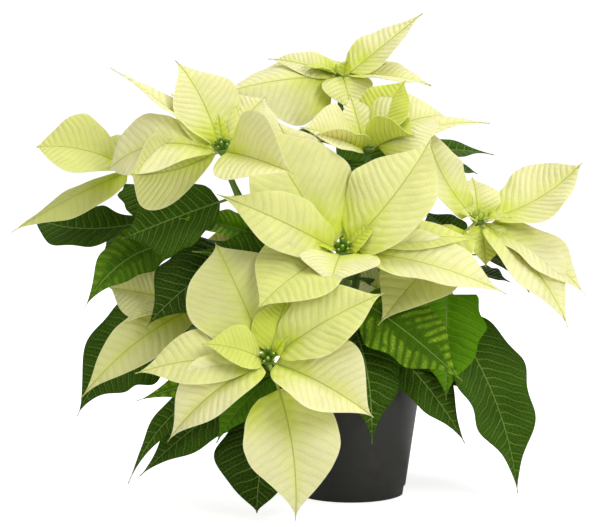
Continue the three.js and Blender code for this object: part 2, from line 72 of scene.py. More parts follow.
# Each head: hub, facing, the height on the trunk where its stem leaves, and the stem's bend.
HEADS = {
    "A": dict(at=(-72, -116, 137), faces=(0, -0.75, 0.66), start=137, via=(-66, -84, 120)),
    "B": dict(at=(-9, -60, 223), faces=(0.05, -0.55, 0.83), start=148, via=(-14, -34, 178)),
    "C": dict(at=(-111, -60, 310), faces=(-0.15, -0.35, 0.92), start=156, via=(-94, -34, 232)),
    "D": dict(at=(-190, 0, 292), faces=(-0.5, -0.2, 0.84), start=140, via=(-128, 36, 186)),
    "E": dict(at=(15, 0, 308), faces=(0.1, -0.25, 0.96), start=165, via=(16, -2, 240)),
    "F": dict(at=(-7, 90, 371), faces=(0, -0.2, 0.98), start=154, via=(-12, 96, 262)),
    "G": dict(at=(113, -10, 245), faces=(0.15, -0.45, 0.88), start=148, via=(92, 14, 172)),
    "H": dict(at=(-136, -20, 172), faces=(-0.5, -0.4, 0.75), start=128, via=(-94, -8, 124)),
    "I": dict(at=(-86, 116, 198), faces=(-0.35, 0.6, 0.72), start=150, via=(-64, 90, 150)),
    "J": dict(at=(44, 112, 160), faces=(0.3, 0.65, 0.7), start=130, via=(38, 78, 120)),
    "K": dict(at=(-4, 140, 258), faces=(0, 0.55, 0.83), start=139, via=(0, 112, 170)),
}

# Forms of blades: arch and sway bow them, roll and fold turn them in degrees, belly and
# shoulder shape the outline, and stalk is the petiole's share. young, fresh and mottled are
# shares of the finish: yellow-green, bright green and variegated; on bracts, fresh is painted
# shade that greys them. puff is how far the skin swells between the veins.
PLAIN = dict(arch=6, roll=0, fold=12, sway=0, belly=0.76, shoulder=6, round=0.5)
BRACT_FORM = dict(PLAIN, lobe=0, stalk=0.05, puff=0.5, young=0, fresh=0, mottled=0)
LEAF_FORM = dict(PLAIN, lobe=0.08, stalk=0.16, puff=0.55, young=0, fresh=0.15, mottled=0)


def bract(tip, width, **form):
    """A bract's form: its tip from the hub, its width, and what sets it apart from others."""
    return {**BRACT_FORM, "tip": tip, "width": width, **form}


def leaf(grows, tip, width, **form):
    """A leaf's form: how far along the stem it grows, its tip's place, its width and the rest."""
    return {**LEAF_FORM, "grows": grows, "tip": tip, "width": width, **form}


# The bracts of each head. On a bract, fresh is a share of painted shade.
BRACTS = {
    "A": [
        bract((-46, 45, 95), 98, fold=8, belly=0.95, shoulder=12, fresh=0.5),
        bract((17, 20, 52), 44, young=0.9),
        bract((98, -8, 58), 68, arch=8, belly=1, fresh=0.2, young=0.35),
        bract((88, -35, -43), 88, arch=10, fold=32, belly=1),
        bract((23, -35, -130), 82, arch=10, fold=6, sway=-7, stalk=0.18),
        bract((-84, -20, -66), 62, arch=16, fold=30),
        bract((-111, -10, -10), 56, arch=12, fold=10, belly=1, fresh=0.2, young=0.18),
        bract((-55, -22, 17), 42, fold=14, young=0.7),
        bract((17, -12, 22), 12, arch=2, young=1),
        bract((-25, -15, 1), 11, arch=2, young=1),
    ],
    "B": [
        bract((-74, 15, 116), 105, arch=10, fold=8, sway=-10, belly=0.8, shoulder=8, round=0.35,
              fresh=0.35, young=0.12),
        bract((79, 20, 99), 86, arch=10, fold=10, sway=12, belly=0.86, round=0.35, young=0.25),
        bract((141, -25, -34), 68, arch=10, fold=15, belly=1, young=0.05),
        bract((-11, -60, -23), 76),
        bract((-73, -62, -43), 84, arch=10, fold=10, belly=1, fresh=0.2, young=0.4),
        bract((-106, -48, 54), 52, arch=14, roll=-48, fold=10, belly=0.9, young=0.3),
        bract((33, -5, 27), 34, arch=4, young=0.9),
        bract((118, 12, 10), 40, arch=8, belly=1.1, young=0.5),
        bract((-40, -15, 19), 26, arch=3, young=1),
        bract((-57, 20, 114), 74, arch=2, fold=6, belly=0.95, shoulder=22),
    ],
    "C": [
        bract((-42, 18, 78), 64, arch=8, fold=8, sway=2, belly=0.74, young=0.1),
        bract((-96, -8, 72), 34, arch=3, roll=12),
        bract((-77, -40, -17), 70, roll=95, fold=10, sway=8, belly=1.6, shoulder=30, fresh=0.4),
        bract((-100, 8, -17), 62, arch=26, roll=-30, fold=10, belly=1.3, shoulder=24),
        bract((61, -80, -14), 88, arch=8, roll=38, fold=40, belly=1.15, round=0.9, fresh=0.2),
        bract((36, 25, 46), 80, arch=4, roll=15, belly=0.85),
        bract((-50, 25, 46), 30, arch=4, young=0.3),
        bract((-47, 42, 48), 34, arch=4, young=0.4),
        bract((2, 28, 52), 26, arch=4, young=0.4),
        bract((-5, 7, 34), 13, arch=2, young=0.9),
    ],
    "D": [
        bract((-88, -10, 19), 68, arch=12, roll=-35, fold=14, belly=1.2, shoulder=36, stalk=0.1,
              fresh=0.2, young=0.4),
        bract((-110, -15, -56), 40, arch=4, roll=-25, fold=-20, fresh=0.6, young=0.2),
        bract((-66, 58, 4), 48, arch=10),
        bract((-6, 82, 6), 50, arch=10),
        bract((52, 52, 12), 44, arch=10),
        bract((-30, 34, 26), 30, young=0.4),
    ],
    "E": [
        bract((-60, -28, 21), 62, arch=4, roll=-25, fold=22, belly=0.95),
        bract((34, 12, 61), 58, belly=1, shoulder=12, young=0.8),
        bract((72, 12, 28), 72, arch=16, roll=30),
        bract((108, -6, 24), 28, arch=10, roll=15),
        bract((-16, 14, 49), 38, arch=2, roll=-20),
        # This bract's yellow-green is partly its own young tint and partly painted shade; fresh greys it
        # with painted shade.
        bract((40, -34, 14), 60, arch=4, roll=-10, fold=48, belly=0.9, young=0.7, fresh=0.4),
        bract((-60, -34, 10), 56, arch=4, roll=6, fold=40),
        bract((-48, 60, 21), 46, arch=8),
        bract((62, 58, 17), 46, arch=8),
    ],
    "F": [
        bract((76, 12, 58), 46, arch=0, roll=20, belly=0.6),
        bract((-68, 10, 16), 32, arch=4, roll=-30, belly=0.6),
        bract((-37, -14, 9), 22, arch=2, young=0.8),
        bract((-112, -22, -16), 84, arch=8, roll=-36, fold=-30, belly=0.66, round=0.45, shoulder=10),
        bract((83, -8, -8), 50, arch=5, roll=5, belly=1),
        bract((-65, 66, -6), 48, arch=12),
        bract((55, 60, -4), 46, arch=12),
        bract((-5, 92, -8), 50, arch=12),
        bract((8, -22, -32), 50, arch=4, young=0.3),
        bract((6, -15, 15), 14, arch=2, young=0.9),
    ],
    "G": [
        bract((-46, 25, 86), 48, arch=4, fold=8, sway=-14, belly=0.95, shoulder=20, round=0.3),
        bract((-4, 28, 38), 44, arch=4, fold=8),
        bract((92, 5, 52), 78, arch=-11, belly=1.1, shoulder=14),
        bract((94, -15, -64), 64, arch=10, fold=8, belly=0.95),
        bract((76, -40, -90), 66, arch=14, fold=10, belly=0.9),
        # young here tints this shaded bract yellow-green as light through it looks: painted shade.
        bract((-91, -66, -84), 76, arch=8, belly=0.95, stalk=0.12, young=0.35),
        bract((-18, -20, 9), 16, arch=2, young=0.5),
        bract((62, 58, 2), 44, arch=10),
        bract((40, -22, -42), 18, young=0.5),
        bract((5, -22, -38), 32, arch=4, shoulder=14, young=0.7),
        bract((28, -20, 5), 14, arch=2, young=0.5),
    ],
    "H": [
        bract((-100, -40, -77), 48, arch=18, roll=-35, fold=6, fresh=0.5),
        bract((-78, 3, 15), 54, arch=8, roll=-35, belly=1.25, shoulder=20, fresh=0.4),
        bract((-24, 60, 2), 40, arch=10),
        bract((-62, -34, -12), 30, fold=14, young=0.3),
    ],
}

# The leaves of each stem.
LEAVES = {
    "A": [
        leaf(0.55, (-185, -90, 98), 36, arch=8, roll=-40, fresh=0.6, mottled=1),
        leaf(0.7, (-194, -75, 23), 26, arch=10, roll=-50, sway=24, fold=20),
        leaf(0.6, (-116, -105, 64), 64, arch=10, fresh=0.9),
        leaf(0.45, (-82, -100, 2), 84, arch=14, sway=6, belly=1.35, shoulder=30, fresh=0),
        leaf(0.5, (-185, -60, 26), 58, arch=14, roll=-35),
    ],
    "B": [
        leaf(0.85, (-138, -72, 225), 48, arch=3, roll=-50, fold=6),
        leaf(0.35, (17, -78, 58), 64, arch=28, fresh=0.1),
        leaf(0.6, (94, -92, 115), 66, arch=12, roll=35, fold=8, fresh=0.4, mottled=1),
        leaf(0.7, (19, 0, 187), 30, arch=4, fold=8),
        leaf(0.3, (125, -26, 88), 50, arch=4, roll=25, fresh=0),
        leaf(0.3, (101, -36, 50), 54, arch=20, roll=35),
    ],
    "C": [
        leaf(0.5, (-177, -75, 160), 82, arch=12, roll=-20, sway=5, fold=8, belly=0.85, fresh=0),
        leaf(0.8, (-200, -48, 233), 84, arch=2, roll=-40, belly=1.05),
        leaf(0.56, (-150, -58, 252), 38, arch=4, roll=-30, fresh=0.9, mottled=1),
    ],
    "D": [
        leaf(0.8, (-290, 60, 243), 50, roll=-35, sway=-20, belly=1.1, shoulder=14),
        leaf(0.65, (-233, -48, 173), 44, arch=10, roll=-40, sway=17, fresh=0.4, mottled=0.5),
        leaf(0.95, (-180, -27, 236), 48, arch=8, belly=0.58, round=0.3, stalk=0.07),
        leaf(0.7, (-230, 70, 206), 52, arch=14),
        leaf(0.5, (-140, 120, 176), 52, arch=14),
    ],
    "E": [
        leaf(0.97, (2, -34, 242), 84, belly=0.55, round=0.3, stalk=0.05),
        leaf(0.86, (48, -26, 296), 34, arch=2),
        leaf(0.93, (131, 45, 301), 30, arch=10, roll=22),
        leaf(0.8, (116, 45, 284), 36, arch=14, roll=20, belly=1.3, shoulder=12),
    ],
    "F": [
        leaf(0.74, (-90, 128, 300), 44, arch=10),
        leaf(0.75, (80, 130, 300), 44, arch=10),
        leaf(0.85, (-10, 190, 320), 46, arch=12),
        leaf(0.8, (50, 44, 262), 64, arch=4, roll=30, fold=6, fresh=0.4),
    ],
    "G": [
        leaf(0.8, (68, 42, 250), 40, arch=4),
        leaf(0.7, (141, -20, 192), 30, arch=2),
        leaf(0.8, (157, -30, 184), 20, arch=12),
        leaf(0.64, (82, -62, 94), 68, arch=3, belly=0.62, round=0.3, fresh=1),
        leaf(0.3, (150, 70, 100), 56, arch=16, fresh=0.2),
        leaf(0.5, (147, -42, 7), 88, arch=14, sway=-8),
    ],
    "H": [
        leaf(0.8, (-248, 26, 64), 80, arch=8, roll=-60, sway=26),
        leaf(0.6, (-196, 70, 110), 54, arch=18),
    ],
    "I": [
        leaf(0.7, (-150, 150, 110), 56, arch=18),
        leaf(0.5, (-60, 190, 90), 56, arch=20, fresh=0.4),
    ],
    "J": [
        leaf(0.7, (120, 160, 90), 56, arch=18),
        leaf(0.5, (30, 180, 60), 56, arch=20, fresh=0.5),
        leaf(0.4, (130, 70, 80), 56, arch=16),
    ],
    "K": [
        leaf(0.7, (70, 190, 200), 50, arch=14, mottled=0.6),
        leaf(0.6, (-20, 200, 180), 50, arch=14),
    ],
}

# Rings of bracts on the heads at the back: count, reach and width, with every second one shorter.
WHORLS = {"I": (7, 72, 52), "J": (8, 70, 50), "K": (6, 66, 50)}
WHORL_ARCH = 9
LONG_BRACT = dict(reach=1, width=1, lift=0.1, young=0)
SHORT_BRACT = dict(reach=0.78, width=0.8, lift=0.4, young=0.3)

HUB = dict(radius=7, neck=3.2, height=7, root=2.6, spread=4.6, rise=2, step=1.2)

# The core of a head: shares of the hub's neck and of its radius, with shares of half its height.
CORE_NECK = ((1, -1), (1.2, -0.6))
CORE = ((0.75, 0), (0.8, 0.5), (0.6, 1), (0, 1))

STEM = dict(root_radius=4, top_radius=2.6, straight=16, steps=48, swell=0.5, swell_share=0.03)
GAP = 0.3
TRUNK = dict(bottom=60, top=166, radius=7.5, top_radius=5.5, steps=36, swell=0.05, swell_detail=180)
TRUNK_KNOBS = ((0.45, 26), (0.2, 71))

# Buds: the inner ones stand tall, and the outer ones' sizes are shares of theirs.
BUDS = dict(inner=4, outer=5, cushion=3.4, ring=3, splay=0.25, height=7)
OUTER_BUDS = dict(width=0.8, height=0.62, uneven=0.1, lean=2.2, ring=1.55, turn=0.07)
BUD_CUP = ((1.0, 0), (1.6, 0.15), (1.95, 0.45), (1.9, 0.7), (1.45, 0.9), (1.0, 0.97))
BUD_TUFT = ((0.9, 0.93), (1.15, 1.0), (0.8, 1.07), (0, 1.1))
PALE_HEADS = ("E", "F", "G")

# Soil: its crumbs are layers of noise, each by its detail and height.
SOIL = dict(top=99, dome=4, rings=26, clear=0.6)
SOIL_CRUMBS = ((90, 1.6), (260, 1.4), (600, 0.9))

POT = dict(height=114, rim=65, band=12, band_step=1.4, foot=49, wall=1.8, floor=2.2, stand=3, boss=16)
SLOT = dict(depth=6, width=30, height=8)
HOLES = dict(count=6, radius=4, ring=32, depth=40)

# Blades, as in the solids: where leaves face, the turn from one blade's waves to the next one's,
# the waves and lobes of the edge, and how sharply the tip is drawn out.
LEAF_FACES = (0, -0.2, 1)
BLADE_TURN = 2.4
WAVE_STEP = 2.2
EDGE_WAVE = 0.06
LOBE_FIRST = 0.34
LOBE_SPACING = 0.32
TIP_POWER = 1.2

# What the finer blades add to the solids' plain form, mostly as shares of the half-width.
FINE = dict(edge=0.05, crease_round=0.004, crease=0.063, cushion=0.05, ripple=0.045, ripple_mm=7.5,
            uneven_mm=1.6)

# Side veins: spacing as a share of the blade's length, its limits in mm, slant and bend, how
# far they wander, and how far those of one side stand ahead of the other side's.
VEINS = dict(spacing=0.065, limits=(4.5, 8.5), slant=0.42, bend=0.005, wander=0.3, wander_mm=14,
             shift=0.4)

# Ribs: radii in mm at five places from the petiole's foot to the tip, and how far they sink in.
RIB_RADII = (1.45, 1.1, 1.0, 0.6, 0.16)
RIB_SINK = (0, 0, 0.75, 0.5)

# Blades: their least half-width in mm, and the limits of how many faces lie along them and
# across each half.
LEAST_AT_BASE = 0.9
LEAST_AT_TIP = 0.15
FACES_ALONG = (8, 60)
FACES_ACROSS = (3, 20)

# Lights: place, size and power, all aimed at the middle of the plant, in metres and watts.
LIGHTS = {
    "key": ((1.4, -1.8, 1.6), 1.2, 28),
    "fill": ((-1.8, -1.4, 1.1), 1.6, 7),
    "top": ((0.4, -0.2, 2.6), 1.2, 22),
    "back": ((0.2, 1.9, 1.9), 1.4, 8),
}
LIGHT_AIM = (-0.03, 0, 0.22)


def from_srgb(red, green, blue):
    """A colour given in 0 to 255 steps, as the linear values that nodes take."""
    shares = [value / 255 for value in (red, green, blue)]
    return tuple(c / 12.92 if c <= 0.04045 else ((c + 0.055) / 1.055) ** 2.4 for c in shares)


def between(first, last, share):
    """A value at a share of the way from first to last."""
    return first + (last - first) * share


def unit(values):
    """The values as an array of length one."""
    array = np.asarray(values, float)
    return array / np.linalg.norm(array)


# ---- settings


def colour_setting(name, description, *steps):
    """A colour that a user can change, with its default in 0 to 255 steps."""
    return bpy.props.FloatVectorProperty(
        name=name, description=description, subtype="COLOR", default=from_srgb(*steps)
    )


class PlantSettings(bpy.types.PropertyGroup):
    """Sizes and colours of the plant."""

    thickness: bpy.props.FloatProperty(
        name="Blade thickness", description="Thickness of leaves and bracts", default=0.0005, unit="LENGTH"
    )
    spacing: bpy.props.FloatProperty(
        name="Mesh spacing", description="Size of the faces on leaves and bracts", default=0.003,
        unit="LENGTH",
    )
    bract: colour_setting("Bract", "Colour of grown bracts", 254, 246, 191)
    young: colour_setting("Young bract", "Colour of young bracts", 212, 227, 66)
    bract_vein: colour_setting("Bract vein", "Colour of veins in bracts", 190, 198, 84)
    leaf: colour_setting("Leaf", "Colour of grown leaves", 44, 70, 12)
    fresh: colour_setting("Fresh leaf", "Colour of young leaves", 88, 140, 10)
    mottled: colour_setting("Mottling", "Colour between veins", 160, 196, 50)
    leaf_vein: colour_setting("Leaf vein", "Colour of veins in leaves", 134, 162, 80)
    stem: colour_setting("Stem", "Colour of green stems", 104, 136, 52)
    bark: colour_setting("Bark", "Colour of the woody trunk", 120, 114, 76)
    bud: colour_setting("Bud", "Colour of the buds", 92, 132, 26)


class PotSettings(bpy.types.PropertyGroup):
    """Sizes and colours of the pot and its soil."""

    colour: colour_setting("Pot", "Colour of the plastic", 46, 45, 42)
    soil: colour_setting("Soil", "Colour of damp peat", 46, 33, 23)
    roundness: bpy.props.IntProperty(
        name="Sides", description="Number of sides of the round pot", default=120, min=24
    )


class StageSettings(bpy.types.PropertyGroup):
    """The floor, light and camera."""

    lens: bpy.props.FloatProperty(
        name="Lens", description="Focal length for a 36 mm sensor, in millimetres", default=133
    )
    pitch: bpy.props.FloatProperty(
        name="Pitch", description="How far the camera looks down", default=math.radians(6.1),
        subtype="ANGLE",
    )
    camera_place: bpy.props.FloatVectorProperty(
        name="Camera", description="Where the camera stands", default=(-0.0451, -1.9668, 0.4169),
        unit="LENGTH",
    )
    floor_size: bpy.props.FloatProperty(
        name="Floor", description="Width of the floor", default=12, unit="LENGTH"
    )


# ---- node helpers


def feed(tree, socket, value):
    """Links a socket to another one, or sets its value."""
    if isinstance(value, bpy.types.NodeSocket):
        tree.links.new(value, socket)
    elif socket.type == "RGBA" and len(value) == 3:
        socket.default_value = (*value, 1)
    else:
        socket.default_value = value


def calc(tree, operation, *values, clamp=False):
    """One Math node's result."""
    node = tree.nodes.new("ShaderNodeMath")
    node.operation = operation
    node.use_clamp = clamp
    for socket, value in zip(node.inputs, values):
        feed(tree, socket, value)
    return node.outputs[0]


def times(tree, first, *others):
    """The product of some values."""
    for other in others:
        first = calc(tree, "MULTIPLY", first, other)
    return first


def one_minus(tree, value):
    """What a share leaves of one."""
    return calc(tree, "SUBTRACT", 1.0, value)


def ramp(tree, value, low, high, to_low=0.0, to_high=1.0):
    """A smooth step of a value from low to high."""
    node = tree.nodes.new("ShaderNodeMapRange")
    node.interpolation_type = "SMOOTHSTEP"
    for socket, given in zip(node.inputs, (value, low, high, to_low, to_high)):
        feed(tree, socket, given)
    return node.outputs[0]


def mix(tree, share, first, second, mode="MIX"):
    """Two colours mixed by a share."""
    node = tree.nodes.new("ShaderNodeMix")
    node.data_type = "RGBA"
    node.blend_type = mode
    feed(tree, node.inputs[0], share)
    feed(tree, node.inputs[6], first)
    feed(tree, node.inputs[7], second)
    return node.outputs[2]


def noise_of(tree, vector, scale, detail=2.0, roughness=0.5):
    """Noise from 0 to 1 at a place."""
    node = tree.nodes.new("ShaderNodeTexNoise")
    feed(tree, node.inputs["Vector"], vector)
    feed(tree, node.inputs["Scale"], scale)
    node.inputs["Detail"].default_value = detail
    node.inputs["Roughness"].default_value = roughness
    return node.outputs["Fac"]


def cells(tree, vector, scale, feature="DISTANCE_TO_EDGE", dimensions="2D"):
    """Distance in a cell pattern."""
    node = tree.nodes.new("ShaderNodeTexVoronoi")
    node.voronoi_dimensions = dimensions
    node.feature = feature
    feed(tree, node.inputs["Vector"], vector)
    node.inputs["Scale"].default_value = scale
    return node.outputs["Distance"]


def attribute(tree, name):
    """A number kept on each vertex."""
    node = tree.nodes.new("ShaderNodeAttribute")
    node.attribute_name = name
    return node.outputs["Fac"]


def object_place(tree):
    """The Object coordinates."""
    return tree.nodes.new("ShaderNodeTexCoord").outputs["Object"]


def stretched_place(tree, scale):
    """The Object coordinates, drawn out by a scale along each axis."""
    node = tree.nodes.new("ShaderNodeMapping")
    node.inputs["Scale"].default_value = scale
    feed(tree, node.inputs["Vector"], object_place(tree))
    return node.outputs[0]


def bump(tree, height, distance, strength=1.0):
    """A normal from a height."""
    node = tree.nodes.new("ShaderNodeBump")
    node.inputs["Strength"].default_value = strength
    node.inputs["Distance"].default_value = distance
    feed(tree, node.inputs["Height"], height)
    return node.outputs["Normal"]


def link_all(tree, sockets, **values):
    """Links values to sockets by their names, with an underscore for each space."""
    for label, value in values.items():
        tree.links.new(value, sockets[label.replace("_", " ")])


SOCKET_KINDS = {"Place": "NodeSocketVector", "Colour": "NodeSocketColor"}


def new_group(name, inputs, outputs):
    """An empty shader group with named sockets, and its end nodes."""
    tree = bpy.data.node_groups.new(name, "ShaderNodeTree")
    for in_out, labels in (("INPUT", inputs), ("OUTPUT", outputs)):
        for label in labels:
            kind = SOCKET_KINDS.get(label, "NodeSocketFloat")
            tree.interface.new_socket(label, in_out=in_out, socket_type=kind)
    return tree, tree.nodes.new("NodeGroupInput").outputs, tree.nodes.new("NodeGroupOutput").inputs


def use_group(tree, name, **values):
    """Places a group in a tree, and gives its outputs."""
    node = tree.nodes.new("ShaderNodeGroup")
    node.node_tree = bpy.data.node_groups[name]
    for label, value in values.items():
        feed(tree, node.inputs[label], value)
    return node.outputs


def new_material(name, roughness, **fixed):
    """A material, its tree and its Principled BSDF, with plain values on its sockets."""
    material = bpy.data.materials.new(name)
    material.use_nodes = True
    tree = material.node_tree
    shader = tree.nodes["Principled BSDF"]
    shader.inputs["Roughness"].default_value = roughness
    for label, value in fixed.items():
        shader.inputs[label.replace("_", " ")].default_value = value
    return material, tree, shader


# ---- effects that materials share

# How deep the skin is pleated between side veins, as against their own height, and the detail
# of the net, the skin and the finest grain.
PLEAT_DEPTH = 2.8
NET_DETAIL = 330
SKIN_DETAIL = 260
GRAIN_DETAIL = 1500
BLADE_NUMBERS = ("Side", "Lateral", "Pitch", "Across", "Share", "Reach")


def vein_group():
    """Pinnate veins: the midrib, the side veins, and the fine net between them."""
    tree, given, result = new_group(
        "Leaf veins", ["Place", *BLADE_NUMBERS], ["Midrib", "Laterals", "Net", "Pleat", "Height"]
    )
    place = given["Place"]
    share = given["Share"]
    right = calc(tree, "GREATER_THAN", given["Side"], 0.0)
    row = calc(tree, "MULTIPLY_ADD", right, VEINS["shift"], given["Lateral"])
    step = calc(tree, "PINGPONG", row, 0.5)
    width = calc(tree, "MULTIPLY_ADD", share, -0.5, 0.95)
    major = one_minus(tree, ramp(tree, times(tree, step, given["Pitch"]), 0.1, width))
    halfway = calc(tree, "PINGPONG", calc(tree, "ADD", row, 0.5), 0.5)
    minor = one_minus(tree, ramp(tree, times(tree, halfway, given["Pitch"]), 0.05, 0.6))
    minor = times(tree, minor, ramp(tree, share, 0.1, 0.6, 0.0, 0.3))
    fade = ramp(tree, share, 0.8, 1.0, 1.0, 0.1)
    laterals = times(tree, calc(tree, "MAXIMUM", major, minor), fade)
    thick = calc(tree, "MULTIPLY_ADD", given["Reach"], -0.75, 1.25)
    midrib = one_minus(tree, ramp(tree, given["Across"], 0.25, thick))
    net = one_minus(tree, ramp(tree, cells(tree, place, NET_DETAIL), 0.0, 0.14))
    uneven = ramp(tree, noise_of(tree, place, 70, 3, 0.6), 0.3, 0.7, 0.35, 1.0)
    pleat = times(tree, ramp(tree, step, 0.0, 0.5), ramp(tree, share, 0.0, 0.3), uneven)
    ribs = calc(tree, "MAXIMUM", midrib, times(tree, laterals, 0.7))
    fine = calc(tree, "MAXIMUM", ribs, times(tree, net, 0.3))
    fine = calc(tree, "MULTIPLY_ADD", noise_of(tree, place, SKIN_DETAIL, 3, 0.6), -1.6, fine)
    height = calc(tree, "MULTIPLY_ADD", pleat, -PLEAT_DEPTH, fine)
    link_all(tree, result, Midrib=midrib, Laterals=laterals, Net=net, Pleat=pleat, Height=height)


def cloud_group():
    """Soft clouds and fine grain in a colour, by Object coordinates."""
    tree, given, result = new_group(
        "Clouded colour", ["Colour", "Size", "Amount"], ["Colour", "Grain"]
    )
    place = object_place(tree)
    cloud = noise_of(tree, place, given["Size"])
    swing = times(tree, calc(tree, "SUBTRACT", cloud, 0.5), given["Amount"])
    tone = tree.nodes.new("ShaderNodeHueSaturation")
    feed(tree, tone.inputs["Value"], calc(tree, "MULTIPLY_ADD", swing, 2.0, 1.0))
    feed(tree, tone.inputs["Color"], given["Colour"])
    link_all(tree, result, Colour=tone.outputs["Color"], Grain=noise_of(tree, place, GRAIN_DETAIL))


def blade_veins(tree):
    """The vein group, fed from a blade's own map and numbers."""
    place = tree.nodes.new("ShaderNodeUVMap")
    place.uv_map = "blade"
    numbers = {name: attribute(tree, name.lower()) for name in BLADE_NUMBERS}
    return use_group(tree, "Leaf veins", Place=place.outputs[0], **numbers)


def draw_veins(tree, veins, colour, vein_colour, strengths):
    """Draws each kind of vein into a colour, as strongly as its number says."""
    for kind, strength in strengths.items():
        colour = mix(tree, times(tree, veins[kind], strength), colour, vein_colour)
    return colour


def blade_normal(tree, veins, grain, under, depth, strength):
    """The relief of a blade: its veins are sunk above and stand out below."""
    side = 1.0 if under else -1.0
    height = calc(tree, "MULTIPLY_ADD", veins["Height"], side, times(tree, grain, BLADE_GRAIN))
    return bump(tree, height, depth, strength)


# ---- finishes

# Colours beside the settings' own, and the depths of reliefs in metres.
# The underside's grey, taken from shaded bracts: partly its own tone, partly painted shade.
SHADED_UNDER_BRACT = from_srgb(206, 206, 140)
# Painted shade: the grey-green of bracts in shade, mixed in by a bract's fresh number.
SHADED_BRACT = from_srgb(192, 196, 120)
# Painted highlight: the pale line along a bract's edge.
BRACT_EDGE_HIGHLIGHT = from_srgb(255, 252, 210)
BRACT_RIB = from_srgb(186, 198, 84)
UNDER_LEAF = from_srgb(120, 148, 60)
PALE_BUD = from_srgb(196, 212, 100)
BUD_TIP = from_srgb(188, 208, 84)
BARK_CRACK = from_srgb(82, 74, 46)
PEAT_CRUMB = from_srgb(96, 74, 54)
PERLITE = from_srgb(214, 208, 194)
DUST = from_srgb(118, 112, 100)
FLOOR_WHITE = (0.88, 0.88, 0.88)
BRACT_GLOW = 0.35
GLOW_DEPTH = 0.002
GLOW_COLOUR = (1.0, 0.9, 0.25)
LEAF_SHEEN = (0.5, 0.7, 0.25, 1.0)
BLADE_GRAIN = 0.12
BRACT_VEINS = dict(Laterals=0.16, Net=0.12, Midrib=0.8)
UNDER_BRACT_VEINS = dict(BRACT_VEINS, Laterals=0.8)
BRACT_RELIEF = 0.0003
LEAF_RELIEF = 0.0004
BARK_RELIEF = 0.0008
PEAT_RELIEF = 0.002
POT_RELIEF = 0.00012


def bract_material(plant, under):
    """Cream bracts with greener veins; the underside is greyer, partly its own tone and partly painted
    shade, with darker veins. The fresh number greys a bract with painted shade, the pleats' valleys are
    tinted with painted shade, and the edges carry a painted highlight.
    """
    material, tree, shader = new_material(
        "cream bract underside" if under else "cream bract", 0.6, Specular_IOR_Level=0.2,
        Subsurface_Weight=BRACT_GLOW, Subsurface_Scale=GLOW_DEPTH, Subsurface_Radius=GLOW_COLOUR,
    )
    veins = blade_veins(tree)
    share = attribute(tree, "share")
    near_base = ramp(tree, attribute(tree, "reach"), 0.0, 0.5, 1.0, 0.0)
    near_rib = ramp(tree, share, 0.0, 0.5, 0.3, 0.0)
    green = calc(tree, "ADD", near_base, near_rib, clamp=True)
    patchy = ramp(tree, noise_of(tree, object_place(tree), 60), 0.3, 0.7, 0.6, 1.0)
    green = calc(tree, "MAXIMUM", times(tree, green, patchy), attribute(tree, "young"))
    # The underside is greyed a little towards a shaded bract's colour: partly its own tone, partly painted
    # shade.
    grown = mix(tree, 0.2, plant.bract, SHADED_UNDER_BRACT) if under else plant.bract
    # A bract's fresh number greys it towards a shaded colour: painted shade.
    grown = mix(tree, attribute(tree, "fresh"), grown, SHADED_BRACT)
    colour = mix(tree, green, grown, plant.young)
    # Painted shade: the pleats' valleys are tinted darker yellow-green.
    painted_valley_shade = times(tree, one_minus(tree, veins["Pleat"]), 0.2)
    colour = mix(tree, painted_valley_shade, colour, plant.young)
    strengths = UNDER_BRACT_VEINS if under else BRACT_VEINS
    colour = draw_veins(tree, veins, colour, plant.bract_vein, strengths)
    # Painted highlight: the edge is paled towards white cream.
    colour = mix(tree, ramp(tree, share, 0.93, 1.0, 0.0, 0.3), colour, BRACT_EDGE_HIGHLIGHT)
    clouded = use_group(tree, "Clouded colour", Colour=colour, Size=45, Amount=0.12)
    normal = blade_normal(tree, veins, clouded["Grain"], under, BRACT_RELIEF, 0.8)
    link_all(tree, shader.inputs, Base_Color=clouded["Colour"], Normal=normal)
    return material


def leaf_material(plant, under):
    """Dark green leaves with paler veins, some of them bright or mottled."""
    material, tree, shader = new_material(
        "green leaf underside" if under else "green leaf", 0.6 if under else 0.42,
        Specular_IOR_Level=0.05, Specular_Tint=LEAF_SHEEN,
    )
    veins = blade_veins(tree)
    fresh = attribute(tree, "fresh")
    mottled = attribute(tree, "mottled")
    grown = mix(tree, 0.25, plant.leaf, UNDER_LEAF) if under else plant.leaf
    colour = mix(tree, fresh, grown, plant.fresh)
    patch = noise_of(tree, object_place(tree), 90, 3, 0.6)
    spread = calc(tree, "ADD", patch, ramp(tree, attribute(tree, "share"), 0.05, 0.6, -0.16, 0.12))
    off_veins = one_minus(tree, calc(tree, "MAXIMUM", veins["Laterals"], veins["Midrib"]))
    off_net = ramp(tree, veins["Net"], 0.0, 1.0, 1.0, 0.1)
    spots = times(tree, ramp(tree, spread, 0.36, 0.6), mottled, off_veins, veins["Pleat"], off_net)
    colour = mix(tree, spots, colour, plant.mottled)
    strengths = {
        "Laterals": calc(tree, "MULTIPLY_ADD", mottled, -0.45, 0.5),
        "Net": calc(tree, "MULTIPLY_ADD", fresh, -0.1, 0.2),
        "Midrib": 0.8,
    }
    colour = draw_veins(tree, veins, colour, plant.leaf_vein, strengths)
    clouded = use_group(tree, "Clouded colour", Colour=colour, Size=35, Amount=0.3)
    gloss = calc(tree, "MULTIPLY_ADD", clouded["Grain"], 0.2, 0.5 if under else 0.3)
    normal = blade_normal(tree, veins, clouded["Grain"], under, LEAF_RELIEF, 0.9)
    link_all(tree, shader.inputs, Base_Color=clouded["Colour"], Roughness=gloss, Normal=normal)
    return material


